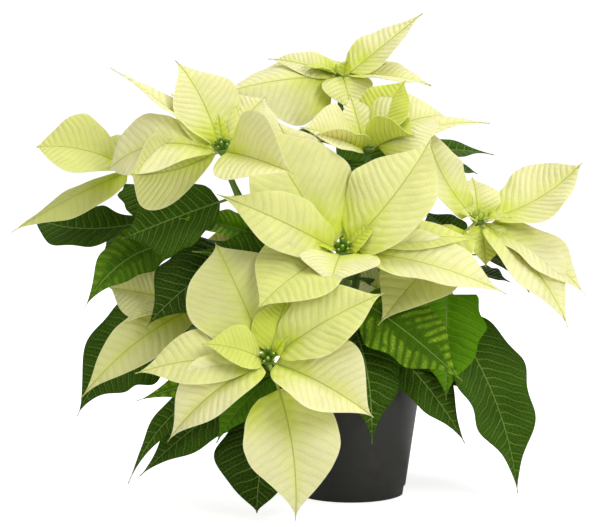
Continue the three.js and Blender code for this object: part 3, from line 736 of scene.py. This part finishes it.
def plain_material(name, colour, rough, clouds, amount, grain, **fixed):
    """A clouded and finely grained finish."""
    material, tree, shader = new_material(name, rough, **fixed)
    clouded = use_group(tree, "Clouded colour", Colour=colour, Size=clouds, Amount=amount)
    gloss = calc(tree, "MULTIPLY_ADD", clouded["Grain"], 0.2, rough - 0.1)
    normal = bump(tree, clouded["Grain"], grain)
    link_all(tree, shader.inputs, Base_Color=clouded["Colour"], Roughness=gloss, Normal=normal)
    return material


def bark_material(plant):
    """Grey-brown bark with green in its cracks, streaked upwards."""
    material, tree, shader = new_material("woody bark", 0.85)
    streaks = noise_of(tree, stretched_place(tree, (1, 1, 0.15)), 700, 4, 0.6)
    colour = mix(tree, ramp(tree, streaks, 0.35, 0.7), BARK_CRACK, plant.bark)
    link_all(tree, shader.inputs, Base_Color=colour, Normal=bump(tree, streaks, BARK_RELIEF))
    return material


def soil_material(pot):
    """Damp dark peat with pale specks of perlite."""
    material, tree, shader = new_material("peat", 0.95)
    place = object_place(tree)
    crumbs = noise_of(tree, place, 420, 6, 0.7)
    colour = mix(tree, ramp(tree, crumbs, 0.3, 0.75), pot.soil, PEAT_CRUMB)
    specks = calc(tree, "LESS_THAN", cells(tree, place, 160, "F1", "3D"), 0.16)
    colour = mix(tree, specks, colour, PERLITE)
    link_all(tree, shader.inputs, Base_Color=colour, Normal=bump(tree, crumbs, PEAT_RELIEF))
    return material


def pot_material(pot):
    """Satin moulded plastic with faint rings, a fine grain and a little dust."""
    material, tree, shader = new_material("moulded plastic", 0.42, Specular_IOR_Level=0.4)
    place = object_place(tree)
    rings = noise_of(tree, stretched_place(tree, (0.05, 0.05, 1)), 600)
    grain = noise_of(tree, place, 2500)
    dust = ramp(tree, noise_of(tree, place, 25, 4, 0.7), 0.5, 0.8, 0.0, 0.12)
    colour = mix(tree, dust, pot.colour, DUST)
    gloss = calc(tree, "MULTIPLY_ADD", dust, 1.2, calc(tree, "MULTIPLY_ADD", rings, 0.12, 0.36))
    height = calc(tree, "MULTIPLY_ADD", rings, 0.5, times(tree, grain, 0.5))
    normal = bump(tree, height, POT_RELIEF)
    link_all(tree, shader.inputs, Base_Color=colour, Roughness=gloss, Normal=normal)
    return material


def stem_material(plant):
    """Green stems, petioles and ribs."""
    return plain_material(
        "green stem", plant.stem, rough=0.5, clouds=60, amount=0.25, grain=0.0001, Specular_IOR_Level=0.35
    )


def bract_rib_material():
    """Pale green ribs of bracts."""
    return plain_material(
        "bract rib", BRACT_RIB, rough=0.5, clouds=60, amount=0.15, grain=0.0001, Specular_IOR_Level=0.3
    )


def floor_material():
    """A pale floor that stays white far out, and still takes soft shadows."""
    pale = plain_material("pale floor", FLOOR_WHITE, rough=0.9, clouds=2, amount=0.01, grain=0.00005)
    tree = pale.node_tree
    shader = tree.nodes["Principled BSDF"]
    seen = tree.nodes.new("ShaderNodeLightPath").outputs["Is Camera Ray"]
    shader.inputs["Emission Color"].default_value = (1, 1, 1, 1)
    link_all(tree, shader.inputs, Emission_Strength=times(tree, seen, 0.7))
    return pale


# ---- mesh helpers


def activate(*pieces):
    """Selects these objects alone, the first one active."""
    for piece in bpy.context.view_layer.objects:
        piece.select_set(piece in pieces)
    bpy.context.view_layer.objects.active = pieces[0]


def join(pieces):
    """Joins objects into the first one."""
    activate(*pieces)
    if len(pieces) > 1:
        bpy.ops.object.join()
    return pieces[0]


def settled():
    """The object just added, with its place, turn and size put into its mesh."""
    piece = bpy.context.view_layer.objects.active
    activate(piece)
    bpy.ops.object.transform_apply(location=True, rotation=True, scale=True)
    return piece


def repaint(piece, *materials):
    """Gives an object these materials alone."""
    piece.data.materials.clear()
    for material in materials:
        piece.data.materials.append(material)


def finish_piece(piece, name, node, angle=50):
    """Names a finished piece, shades it, fixes it to the body and hides the solid that it stands for."""
    piece.name = name
    piece.data.name = name
    activate(piece)
    bpy.ops.object.shade_smooth_by_angle(angle=math.radians(angle))
    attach(piece, BODY)
    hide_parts(node)


def points_of(mesh):
    """A mesh's points, as rows."""
    flat = np.empty(3 * len(mesh.vertices))
    mesh.vertices.foreach_get("co", flat)
    return flat.reshape(-1, 3)


def set_points(mesh, points):
    """Moves a mesh's points."""
    mesh.vertices.foreach_set("co", np.ascontiguousarray(points, np.float32).ravel())
    mesh.update()


def curve_tube(lines, sides, material):
    """Tubes through rows of points in mm, each with its own radii, as one mesh object."""
    curve = bpy.data.curves.new("tubes", "CURVE")
    curve.dimensions = "3D"
    curve.bevel_depth = MM
    curve.bevel_resolution = sides // 4
    curve.use_fill_caps = True
    for points, radii in lines:
        line = curve.splines.new("POLY")
        line.points.add(len(points) - 1)
        for spot, place, radius in zip(line.points, points, radii):
            spot.co = (*(MM * place), 1)
            spot.radius = radius
    piece = bpy.data.objects.new("tubes", curve)
    bpy.context.collection.objects.link(piece)
    activate(piece)
    bpy.ops.object.convert(target="MESH")
    piece = bpy.context.view_layer.objects.active
    repaint(piece, material)
    return piece


# ---- blades


def outline(u, form):
    """Half-width of a blade as a share of its widest."""
    power = between(form["round"], TIP_POWER, u)
    smooth = np.sin(np.pi * u ** form["belly"]).clip(0) ** power * (1 - u ** form["shoulder"])
    return smooth * (1 + form["lobe"] * np.cos(2 * np.pi * (u - LOBE_FIRST) / LOBE_SPACING))


def spine(root, tip, facing, form, u):
    """Centre line of a blade and its frame, at places u from the petiole's end to the tip."""
    chord = tip - root
    along = unit(chord)
    roll = Matrix.Rotation(math.radians(form["roll"]), 3, Vector(along))
    face = np.array(roll @ Vector(unit(facing - along * facing.dot(along))))
    across = np.cross(along, face)
    t = (form["stalk"] + u * (1 - form["stalk"]))[:, None]
    bow = 4 * t * (1 - t)
    slope = 4 * (1 - 2 * t)
    centre = root + chord * t + face * form["arch"] * bow + across * form["sway"] * bow
    tangent = chord + face * form["arch"] * slope + across * form["sway"] * slope
    tangent /= np.linalg.norm(tangent, axis=1)[:, None]
    normal = face - tangent * (tangent @ face)[:, None]
    normal /= np.linalg.norm(normal, axis=1)[:, None]
    return centre, tangent, normal, np.cross(tangent, normal)


def wave_phase(u, form):
    """Steps along the blade, as its solid counts them."""
    if form["width"] < 45:
        stations = [0, 0.25, 0.7, 1]
    elif form["width"] < 64:
        stations = [0, 0.14, 0.42, 0.72, 1]
    elif form["lobe"] > 0:
        stations = [0, 0.12, 0.3, 0.48, 0.66, 0.83, 1]
    else:
        stations = [0, 0.1, 0.32, 0.56, 0.8, 1]
    return np.interp(u, stations, range(1, len(stations) + 1))


def blade_object(root, tip, facing, form, turn, spacing):
    """One blade, bent from a flat grid, with its veins' numbers kept on its vertices."""
    length = np.linalg.norm(tip - root)
    rows = int(np.clip(length / spacing, *FACES_ALONG))
    half_width = form["width"] / 2
    columns = 2 * int(np.clip(half_width / spacing, *FACES_ACROSS))
    bpy.ops.mesh.primitive_grid_add(x_subdivisions=columns, y_subdivisions=rows, size=1, calc_uvs=True)
    piece = bpy.context.view_layer.objects.active
    mesh = piece.data
    flat = points_of(mesh)
    share = np.round(2 * flat[:, 0], 5)
    u = np.clip(flat[:, 1] + 0.5, 0, 1) ** 0.9
    u_rows, row_of = np.unique(u, return_inverse=True)
    centre, _, normal, side = (part[row_of] for part in spine(root, tip, facing, form, u_rows))
    half = np.maximum(half_width * outline(u, form), np.where(u > 0.5, LEAST_AT_TIP, LEAST_AT_BASE))
    size = abs(share)
    seed = Vector((turn * 3.1, turn * 1.7, form["width"]))
    rough = np.array([noise.noise(seed + Vector((s * 0.6, v * 6, 0))) for s, v in zip(np.sign(share), u)])
    half = half * (1 + FINE["edge"] * rough * size**4)
    fold = math.radians(form["fold"])
    out = half * share * math.cos(fold)
    crease = np.sqrt(size**2 + FINE["crease_round"]) - FINE["crease"]
    lift = crease * half * math.sin(fold)
    lift += share * EDGE_WAVE * half * np.sin(WAVE_STEP * wave_phase(u, form) + turn)
    along_mm = u * length * (1 - form["stalk"])
    across_mm = half * size
    pitch = np.clip(VEINS["spacing"] * length, *VEINS["limits"])
    spots = np.stack([along_mm, across_mm], 1) / VEINS["wander_mm"]
    wander = np.array([noise.noise(seed + Vector((*spot, 7))) for spot in spots])
    slanted = along_mm - VEINS["slant"] * across_mm - VEINS["bend"] * across_mm**2
    lateral = slanted / pitch + VEINS["wander"] * wander
    inner = np.clip(size * 4, 0, 1) * np.clip((1 - size) * 3, 0, 1)
    puff = abs(np.sin(np.pi * (lateral + np.where(share > 0, VEINS["shift"], 0))))
    lift += form["puff"] * inner * (puff - 0.5)
    lift += FINE["cushion"] * half * (1 - (2 * size - 1) ** 2)
    ripple = np.sin(along_mm / FINE["ripple_mm"] + 2 * turn + 2.2 * np.sign(share))
    lift += FINE["ripple"] * half * size**3 * ripple
    lift += FINE["uneven_mm"] * rough * size
    points = centre + side * out[:, None] + normal * lift[:, None]
    set_points(mesh, points * MM)
    layer = mesh.uv_layers.active
    layer.name = "blade"
    corners = np.empty(len(mesh.loops), int)
    mesh.loops.foreach_get("vertex_index", corners)
    places = np.stack([half * share, along_mm], 1)[corners] * MM + turn
    layer.data.foreach_set("uv", places.astype(np.float32).ravel())
    ones = np.ones(len(u))
    numbers = dict(side=share, share=size, reach=u, lateral=lateral, across=across_mm, pitch=pitch * ones)
    for key in ("young", "fresh", "mottled"):
        numbers[key] = form[key] * ones
    for key, values in numbers.items():
        layer = mesh.attributes.new(key, "FLOAT", "POINT")
        layer.data.foreach_set("value", np.ascontiguousarray(values, np.float32))
    return piece


def rib_line(root, tip, facing, form):
    """The petiole and midrib of a blade: points, and radii in mm."""
    start = -form["stalk"] / (1 - form["stalk"])
    u = np.concatenate([np.linspace(start, 0, 6), np.linspace(0.04, 0.97, 22)])
    centre, _, normal, _ = spine(root, tip, facing, form, u)
    thick = np.interp(form["width"], [10, 90], [0.6, 1.25])
    radii = np.interp(u, [start, start * 0.5, 0, 0.3, 1], RIB_RADII) * thick
    sink = np.interp(u, [start, 0, 0.25, 1], RIB_SINK)[:, None] * radii[:, None]
    return centre - normal * sink, radii


def leafy_mesh(blades, materials, rib_material, plant):
    """A group of blades with their ribs, as one object. Each blade: root, tip, facing, form, turn."""
    spacing = plant.spacing / MM
    piece = join([blade_object(*blade, spacing) for blade in blades])
    repaint(piece, *materials)
    shell = piece.modifiers.new("wall", "SOLIDIFY")
    shell.thickness = plant.thickness
    shell.offset = 0
    shell.material_offset = 1
    shell.material_offset_rim = 0
    bpy.ops.object.modifier_apply(modifier=shell.name)
    ribs = curve_tube([rib_line(*blade[:4]) for blade in blades], 8, rib_material)
    return join([piece, ribs])


# ---- heads and stems


def whorl_rows(key):
    """Bracts set evenly round a head, longer and shorter in turn."""
    count, reach, width = WHORLS[key]
    axis = unit(HEADS[key]["faces"])
    right = unit(np.array([1, 0, 0]) - axis * axis[0])
    back = np.cross(axis, right)
    rows = []
    for i in range(count):
        angle = 2 * math.pi * i / count
        kind = SHORT_BRACT if i % 2 else LONG_BRACT
        tip = axis * kind["lift"] + right * math.cos(angle) + back * math.sin(angle)
        tip = tip * reach * kind["reach"]
        rows.append(bract(tip, width * kind["width"], arch=WHORL_ARCH, young=kind["young"]))
    return rows


def bract_blades(key):
    """Root, tip, facing, form and turn of each bract of a head."""
    head = HEADS[key]
    hub = np.array(head["at"], float)
    facing = unit(head["faces"])
    blades = []
    for i, form in enumerate(BRACTS.get(key) or whorl_rows(key)):
        reach = np.array(form["tip"], float)
        outward = unit(reach - facing * reach.dot(facing))
        steep = max(0, unit(reach).dot(facing))
        root = hub + outward * (HUB["root"] + HUB["spread"] * steep)
        root = root + facing * (HUB["rise"] * steep + HUB["step"] * (i % 3 - 1))
        blades.append((root, hub + reach, facing, form, BLADE_TURN * i))
    return blades


def stem_points(key):
    """The stem's curve, evenly spaced."""
    head = HEADS[key]
    facing = unit(head["faces"])
    end = np.array(head["at"]) - facing * (HUB["height"] / 2 + GAP)
    knots = [np.array([0, 0, head["start"]]), np.array(head["via"]), end - facing * STEM["straight"], end]
    t = np.linspace(0, 1, 401)[:, None]
    shares = ((1 - t) ** 3, 3 * (1 - t) ** 2 * t, 3 * (1 - t) * t**2, t**3)
    curve = sum(share * knot for share, knot in zip(shares, knots))
    lengths = np.concatenate([[0], np.cumsum(np.linalg.norm(np.diff(curve, axis=0), axis=1))])
    even = np.linspace(0, lengths[-1], STEM["steps"] + 1)
    return np.stack([np.interp(even, lengths, curve[:, axis]) for axis in range(3)], 1)


def leaf_blades(key):
    """Root, tip, facing, form and turn of each leaf of a stem."""
    points = stem_points(key)
    up = unit(LEAF_FACES)
    blades = []
    for i, form in enumerate(LEAVES[key]):
        place = form["grows"] * (len(points) - 1)
        root = np.array([np.interp(place, range(len(points)), points[:, axis]) for axis in range(3)])
        blades.append((root, np.array(form["tip"], float), up, form, BLADE_TURN * i + 1))
    return blades


def stem_radii(key, points):
    """Radii of a stem, with a low swelling at each leaf."""
    share = np.linspace(0, 1, len(points))
    radii = between(STEM["root_radius"], STEM["top_radius"], share)
    for form in LEAVES[key]:
        away = (share - form["grows"]) / STEM["swell_share"]
        radii = radii + STEM["swell"] * np.exp(-(away**2))
    return radii


def place_on_head(piece, key):
    """Moves a piece made about the origin, with +Z as its axis, onto a head."""
    facing = Vector(HEADS[key]["faces"]).normalized()
    turn = Vector((0, 0, 1)).rotation_difference(facing).to_matrix().to_4x4()
    piece.data.transform(Matrix.Translation(MM * Vector(HEADS[key]["at"])) @ turn)


def round_piece(profile, sides, material):
    """A turned piece: a ring of points is drawn out and sized step by step. Radii and
    heights are in mm; a radius of 0 closes an end in a point."""
    first_radius, first_height = profile[0]
    bpy.ops.mesh.primitive_circle_add(
        vertices=sides, radius=MM * first_radius, fill_type="TRIFAN", location=(0, 0, MM * first_height)
    )
    piece = settled()
    shape = bmesh.new()
    shape.from_mesh(piece.data)
    ring = [edge for edge in shape.edges if edge.is_boundary]
    radius = first_radius
    for next_radius, next_height in profile[1:]:
        drawn = bmesh.ops.extrude_edge_only(shape, edges=ring)["geom"]
        verts = [part for part in drawn if isinstance(part, bmesh.types.BMVert)]
        scale = max(next_radius, 0.01) / radius
        for vert in verts:
            vert.co.x *= scale
            vert.co.y *= scale
            vert.co.z = MM * next_height
        radius = max(next_radius, 0.01)
        ring = [part for part in drawn if isinstance(part, bmesh.types.BMEdge)]
    bmesh.ops.contextual_create(shape, geom=ring)
    bmesh.ops.recalc_face_normals(shape, faces=shape.faces)
    shape.to_mesh(piece.data)
    shape.free()
    repaint(piece, material)
    return piece


# ---- operators


class PieceOperator:
    """What the operators share."""

    bl_options = {"REGISTER", "UNDO"}


class POINSETTIA_OT_effects(PieceOperator, bpy.types.Operator):
    """Builds the shader groups that several materials share."""

    bl_idname = "poinsettia.effects"
    bl_label = "Shared Effects"

    def execute(self, context):
        vein_group()
        cloud_group()
        return {"FINISHED"}


class POINSETTIA_OT_blooms(PieceOperator, bpy.types.Operator):
    """Builds each head of cream bracts with its green core."""

    bl_idname = "poinsettia.blooms"
    bl_label = "Bracts"

    def execute(self, context):
        plant = context.scene.poinsettia_plant
        faces = [bract_material(plant, False), bract_material(plant, True)]
        rib = bract_rib_material()
        green = bpy.data.materials["green stem"]
        tall = HUB["height"] / 2
        profile = [(HUB["neck"] * wide, tall * high) for wide, high in CORE_NECK]
        profile += [(HUB["radius"] * wide, tall * high) for wide, high in CORE]
        for key in HEADS:
            bracts = leafy_mesh(bract_blades(key), faces, rib, plant)
            core = round_piece(profile, 20, green)
            place_on_head(core, key)
            finish_piece(join([bracts, core]), "bracts_" + key, "bloom_" + key)
        return {"FINISHED"}


class POINSETTIA_OT_stems(PieceOperator, bpy.types.Operator):
    """Builds each green stem with its leaves."""

    bl_idname = "poinsettia.stems"
    bl_label = "Stems and Leaves"

    def execute(self, context):
        plant = context.scene.poinsettia_plant
        faces = [leaf_material(plant, False), leaf_material(plant, True)]
        green = stem_material(plant)
        for key in HEADS:
            leaves = leafy_mesh(leaf_blades(key), faces, green, plant)
            points = stem_points(key)
            stem = curve_tube([(points, stem_radii(key, points))], 16, green)
            finish_piece(join([leaves, stem]), "leafy_stem_" + key, "stem_" + key)
        return {"FINISHED"}


def single_bud(i, base, skin, tips):
    """One bud with its tuft: the first ones stand tall in the middle, the others lean outward."""
    inner = i < BUDS["inner"]
    share = dict(width=1, height=1, lean=1, ring=1) if inner else dict(OUTER_BUDS)
    around = i / BUDS["inner"]
    if not inner:
        share["height"] += OUTER_BUDS["uneven"] * math.sin(5 * i)
        around = (i - BUDS["inner"]) / BUDS["outer"] + OUTER_BUDS["turn"]
    wide = share["width"]
    tall = BUDS["height"] * share["height"]
    cup = round_piece([(wide * radius, tall * height) for radius, height in BUD_CUP], 12, skin)
    tuft = round_piece([(wide * radius, tall * height) for radius, height in BUD_TUFT], 8, tips)
    bud = join([cup, tuft])
    bud.data.transform(
        Matrix.Rotation(2 * math.pi * around, 4, "Z")
        @ Matrix.Translation((MM * BUDS["ring"] * share["ring"], 0, MM * (base + 0.8)))
        @ Matrix.Rotation(BUDS["splay"] * share["lean"], 4, "Y")
    )
    return bud


class POINSETTIA_OT_buds(PieceOperator, bpy.types.Operator):
    """Builds the cluster of small green buds in the middle of each head."""

    bl_idname = "poinsettia.buds"
    bl_label = "Buds"

    def execute(self, context):
        skin = dict(rough=0.45, clouds=300, grain=0.00015)
        green = plain_material("green bud", context.scene.poinsettia_plant.bud, amount=0.5, **skin)
        pale = plain_material("pale bud", PALE_BUD, amount=0.3, **skin)
        tips = plain_material("bud tip", BUD_TIP, rough=0.5, clouds=300, amount=0.2, grain=0.0001)
        base = HUB["height"] / 2 + GAP
        wide = BUDS["cushion"]
        cushion = [(wide, base), (wide + 0.2, base + 0.8), (wide - 0.8, base + 2), (0, base + 2.2)]
        for key in HEADS:
            colour = pale if key in PALE_HEADS else green
            parts = [round_piece(cushion, 16, colour)]
            for i in range(BUDS["inner"] + BUDS["outer"]):
                parts.append(single_bud(i, base, colour, tips))
            piece = join(parts)
            place_on_head(piece, key)
            finish_piece(piece, "bud_cluster_" + key, "buds_" + key)
        return {"FINISHED"}


class POINSETTIA_OT_trunk(PieceOperator, bpy.types.Operator):
    """Builds the knobbly woody trunk that the stems grow from."""

    bl_idname = "poinsettia.trunk"
    bl_label = "Trunk"

    def execute(self, context):
        bark = bark_material(context.scene.poinsettia_plant)
        profile = []
        for share in np.linspace(0, 1, TRUNK["steps"] + 1):
            radius = between(TRUNK["radius"], TRUNK["top_radius"], share)
            radius += sum(height * math.sin(share * turn) for height, turn in TRUNK_KNOBS)
            profile.append((radius, between(TRUNK["bottom"], TRUNK["top"], share)))
        profile.append((TRUNK["top_radius"] * 0.5, TRUNK["top"] + 0.2))
        piece = round_piece(profile, 32, bark)
        points = points_of(piece.data)
        swell = [noise.noise(Vector(point) * TRUNK["swell_detail"]) for point in points]
        points[:, :2] *= 1 + TRUNK["swell"] * np.array(swell)[:, None]
        set_points(piece.data, points)
        finish_piece(piece, "woody_trunk", "trunk", 60)
        return {"FINISHED"}


class POINSETTIA_OT_soil(PieceOperator, bpy.types.Operator):
    """Builds the crumbly soil, low in the pot."""

    bl_idname = "poinsettia.soil"
    bl_label = "Soil"

    def execute(self, context):
        peat = soil_material(context.scene.poinsettia_pot)
        bed = POT["stand"] + POT["floor"] + GAP
        gap = POT["wall"] + SOIL["clear"]
        inner = wall_radius(SOIL["top"]) - gap
        profile = [(wall_radius(bed) - gap, bed), (inner, SOIL["top"])]
        for i in range(SOIL["rings"] - 1, 0, -1):
            share = i / SOIL["rings"]
            profile.append((inner * share, SOIL["top"] + SOIL["dome"] * (1 - share**2)))
        profile.append((0, SOIL["top"] + SOIL["dome"]))
        piece = round_piece(profile, 96, peat)
        points = points_of(piece.data)
        top = points[:, 2] > MM * (SOIL["top"] - 1)
        crumbs = np.array([
            sum(height * noise.noise(Vector(point) * detail) for detail, height in SOIL_CRUMBS)
            for point in points
        ])
        points[:, 2] += np.where(top, MM * crumbs, 0)
        set_points(piece.data, points)
        finish_piece(piece, "peat_soil", "soil", 60)
        return {"FINISHED"}


def wall_radius(height):
    """Outer radius of the pot's wall at a height."""
    share = height / (POT["height"] - POT["band"])
    return between(POT["foot"], POT["rim"] - POT["band_step"], share)


def cut(piece, tools):
    """Cuts tools out of a piece."""
    for tool in tools:
        knife = piece.modifiers.new("cut", "BOOLEAN")
        knife.operation = "DIFFERENCE"
        knife.object = tool
        activate(piece)
        bpy.ops.object.modifier_apply(modifier=knife.name)
        bpy.data.objects.remove(tool)


class POINSETTIA_OT_pot(PieceOperator, bpy.types.Operator):
    """Builds the round tapered pot with its rim band, recessed floor, holes and foot slots."""

    bl_idname = "poinsettia.pot"
    bl_label = "Pot"

    def execute(self, context):
        settings = context.scene.poinsettia_pot
        plastic = pot_material(settings)
        inside = POT["stand"] + POT["floor"]
        top = POT["height"]
        band = top - POT["band"]
        foot = POT["foot"]
        wall = POT["wall"]
        rim = POT["rim"] - 0.1
        # From the boss under the floor, out and up the wall, over the rim and down to the inside
        # of the floor, with steps of up to 2 mm that round the edges.
        profile = [
            (POT["boss"], 0), (POT["boss"] + 1, POT["stand"]), (foot - wall - 1, POT["stand"]),
            (foot - wall, 0), (foot - 0.6, 0), (foot, 0.7), (wall_radius(band - 1), band - 1),
            (wall_radius(band) + 0.2, band), (rim - 0.3, band + 0.8), (rim, band + 1.4),
            (rim, top - 0.9), (rim - 0.4, top - 0.2), (rim - 1.2, top), (rim - wall, top - 0.2),
            (rim - wall - 0.6, top - 0.8), (wall_radius(band) - wall, band),
            (wall_radius(inside + 2) - wall, inside + 2), (wall_radius(inside) - wall - 2, inside),
            (0, inside),
        ]
        piece = round_piece(profile, settings.roundness, plastic)
        tools = []
        for side in (1, -1):
            place = side * MM * (foot + SLOT["depth"] / 2)
            size = (MM * 2 * SLOT["depth"], MM * SLOT["width"], MM * 2 * SLOT["height"])
            bpy.ops.mesh.primitive_cube_add(size=1, location=(place, 0, 0), scale=size)
            tools.append(settled())
        for i in range(HOLES["count"]):
            angle = 2 * math.pi * (i + 0.5) / HOLES["count"]
            place = MM * HOLES["ring"] * Vector((math.cos(angle), math.sin(angle), 0))
            bpy.ops.mesh.primitive_cylinder_add(
                vertices=32, radius=MM * HOLES["radius"], depth=MM * HOLES["depth"], location=place
            )
            tools.append(settled())
        cut(piece, tools)
        finish_piece(piece, "nursery_pot", "pot", 35)
        return {"FINISHED"}


def area_light(name, place, size, power):
    """A soft square light that looks at the middle of the plant."""
    data = bpy.data.lights.new(name, "AREA")
    data.size = size
    data.energy = power
    lamp = bpy.data.objects.new(name, data)
    bpy.context.collection.objects.link(lamp)
    lamp.location = place
    lamp.rotation_euler = (Vector(LIGHT_AIM) - lamp.location).to_track_quat("-Z", "Y").to_euler()


class POINSETTIA_OT_stage(PieceOperator, bpy.types.Operator):
    """Sets a plain pale floor, soft light and the camera."""

    bl_idname = "poinsettia.stage"
    bl_label = "Floor, Light and Camera"

    def execute(self, context):
        stage = context.scene.poinsettia_stage
        bpy.ops.mesh.primitive_plane_add(size=stage.floor_size, location=(0, 0, -0.0002))
        floor = settled()
        floor.name = "floor"
        floor.data.materials.append(floor_material())
        world = bpy.data.worlds.new("soft white room")
        world.use_nodes = True
        tree = world.node_tree
        glow = tree.nodes["Background"]
        seen = tree.nodes.new("ShaderNodeLightPath").outputs["Is Camera Ray"]
        tree.links.new(ramp(tree, seen, 0.0, 1.0, 0.4, 1.05), glow.inputs["Strength"])
        glow.inputs["Color"].default_value = (1, 1, 1, 1)
        context.scene.world = world
        for name, (place, size, power) in LIGHTS.items():
            area_light(name, place, size, power)
        data = bpy.data.cameras.new("camera")
        data.sensor_width = 36
        data.lens = stage.lens
        data.clip_end = 50
        camera = bpy.data.objects.new("camera", data)
        bpy.context.collection.objects.link(camera)
        camera.location = stage.camera_place
        camera.rotation_euler = (math.pi / 2 - stage.pitch, 0, 0)
        context.scene.camera = camera
        context.scene.view_settings.view_transform = "Standard"
        return {"FINISHED"}


class POINSETTIA_PT_panel(bpy.types.Panel):
    """Lists the pieces of the plant."""

    bl_idname = "POINSETTIA_PT_panel"
    bl_label = "Poinsettia"
    bl_space_type = "VIEW_3D"
    bl_region_type = "UI"
    bl_category = "Poinsettia"

    def draw(self, context):
        for group in ("poinsettia_plant", "poinsettia_pot", "poinsettia_stage"):
            settings = getattr(context.scene, group)
            for name in settings.__annotations__:
                self.layout.prop(settings, name)
        for operator in OPERATORS:
            self.layout.operator(operator.bl_idname)


SETTINGS = {
    "poinsettia_plant": PlantSettings,
    "poinsettia_pot": PotSettings,
    "poinsettia_stage": StageSettings,
}
OPERATORS = (
    POINSETTIA_OT_effects,
    POINSETTIA_OT_pot,
    POINSETTIA_OT_soil,
    POINSETTIA_OT_trunk,
    POINSETTIA_OT_stems,
    POINSETTIA_OT_blooms,
    POINSETTIA_OT_buds,
    POINSETTIA_OT_stage,
)


def register():
    """Registers the settings, operators and panel."""
    for name, group in SETTINGS.items():
        bpy.utils.register_class(group)
        setattr(bpy.types.Scene, name, bpy.props.PointerProperty(type=group))
    for part in (*OPERATORS, POINSETTIA_PT_panel):
        bpy.utils.register_class(part)


def unregister():
    """Takes them all out again."""
    for part in reversed((*OPERATORS, POINSETTIA_PT_panel)):
        bpy.utils.unregister_class(part)
    for name, group in SETTINGS.items():
        delattr(bpy.types.Scene, name)
        bpy.utils.unregister_class(group)


def main():
    """Builds every piece in order."""
    register()
    bpy.ops.poinsettia.effects()
    bpy.ops.poinsettia.pot()
    bpy.ops.poinsettia.soil()
    bpy.ops.poinsettia.trunk()
    bpy.ops.poinsettia.stems()
    bpy.ops.poinsettia.blooms()
    bpy.ops.poinsettia.buds()
    bpy.ops.poinsettia.stage()


if __name__ == "__main__":
    main()
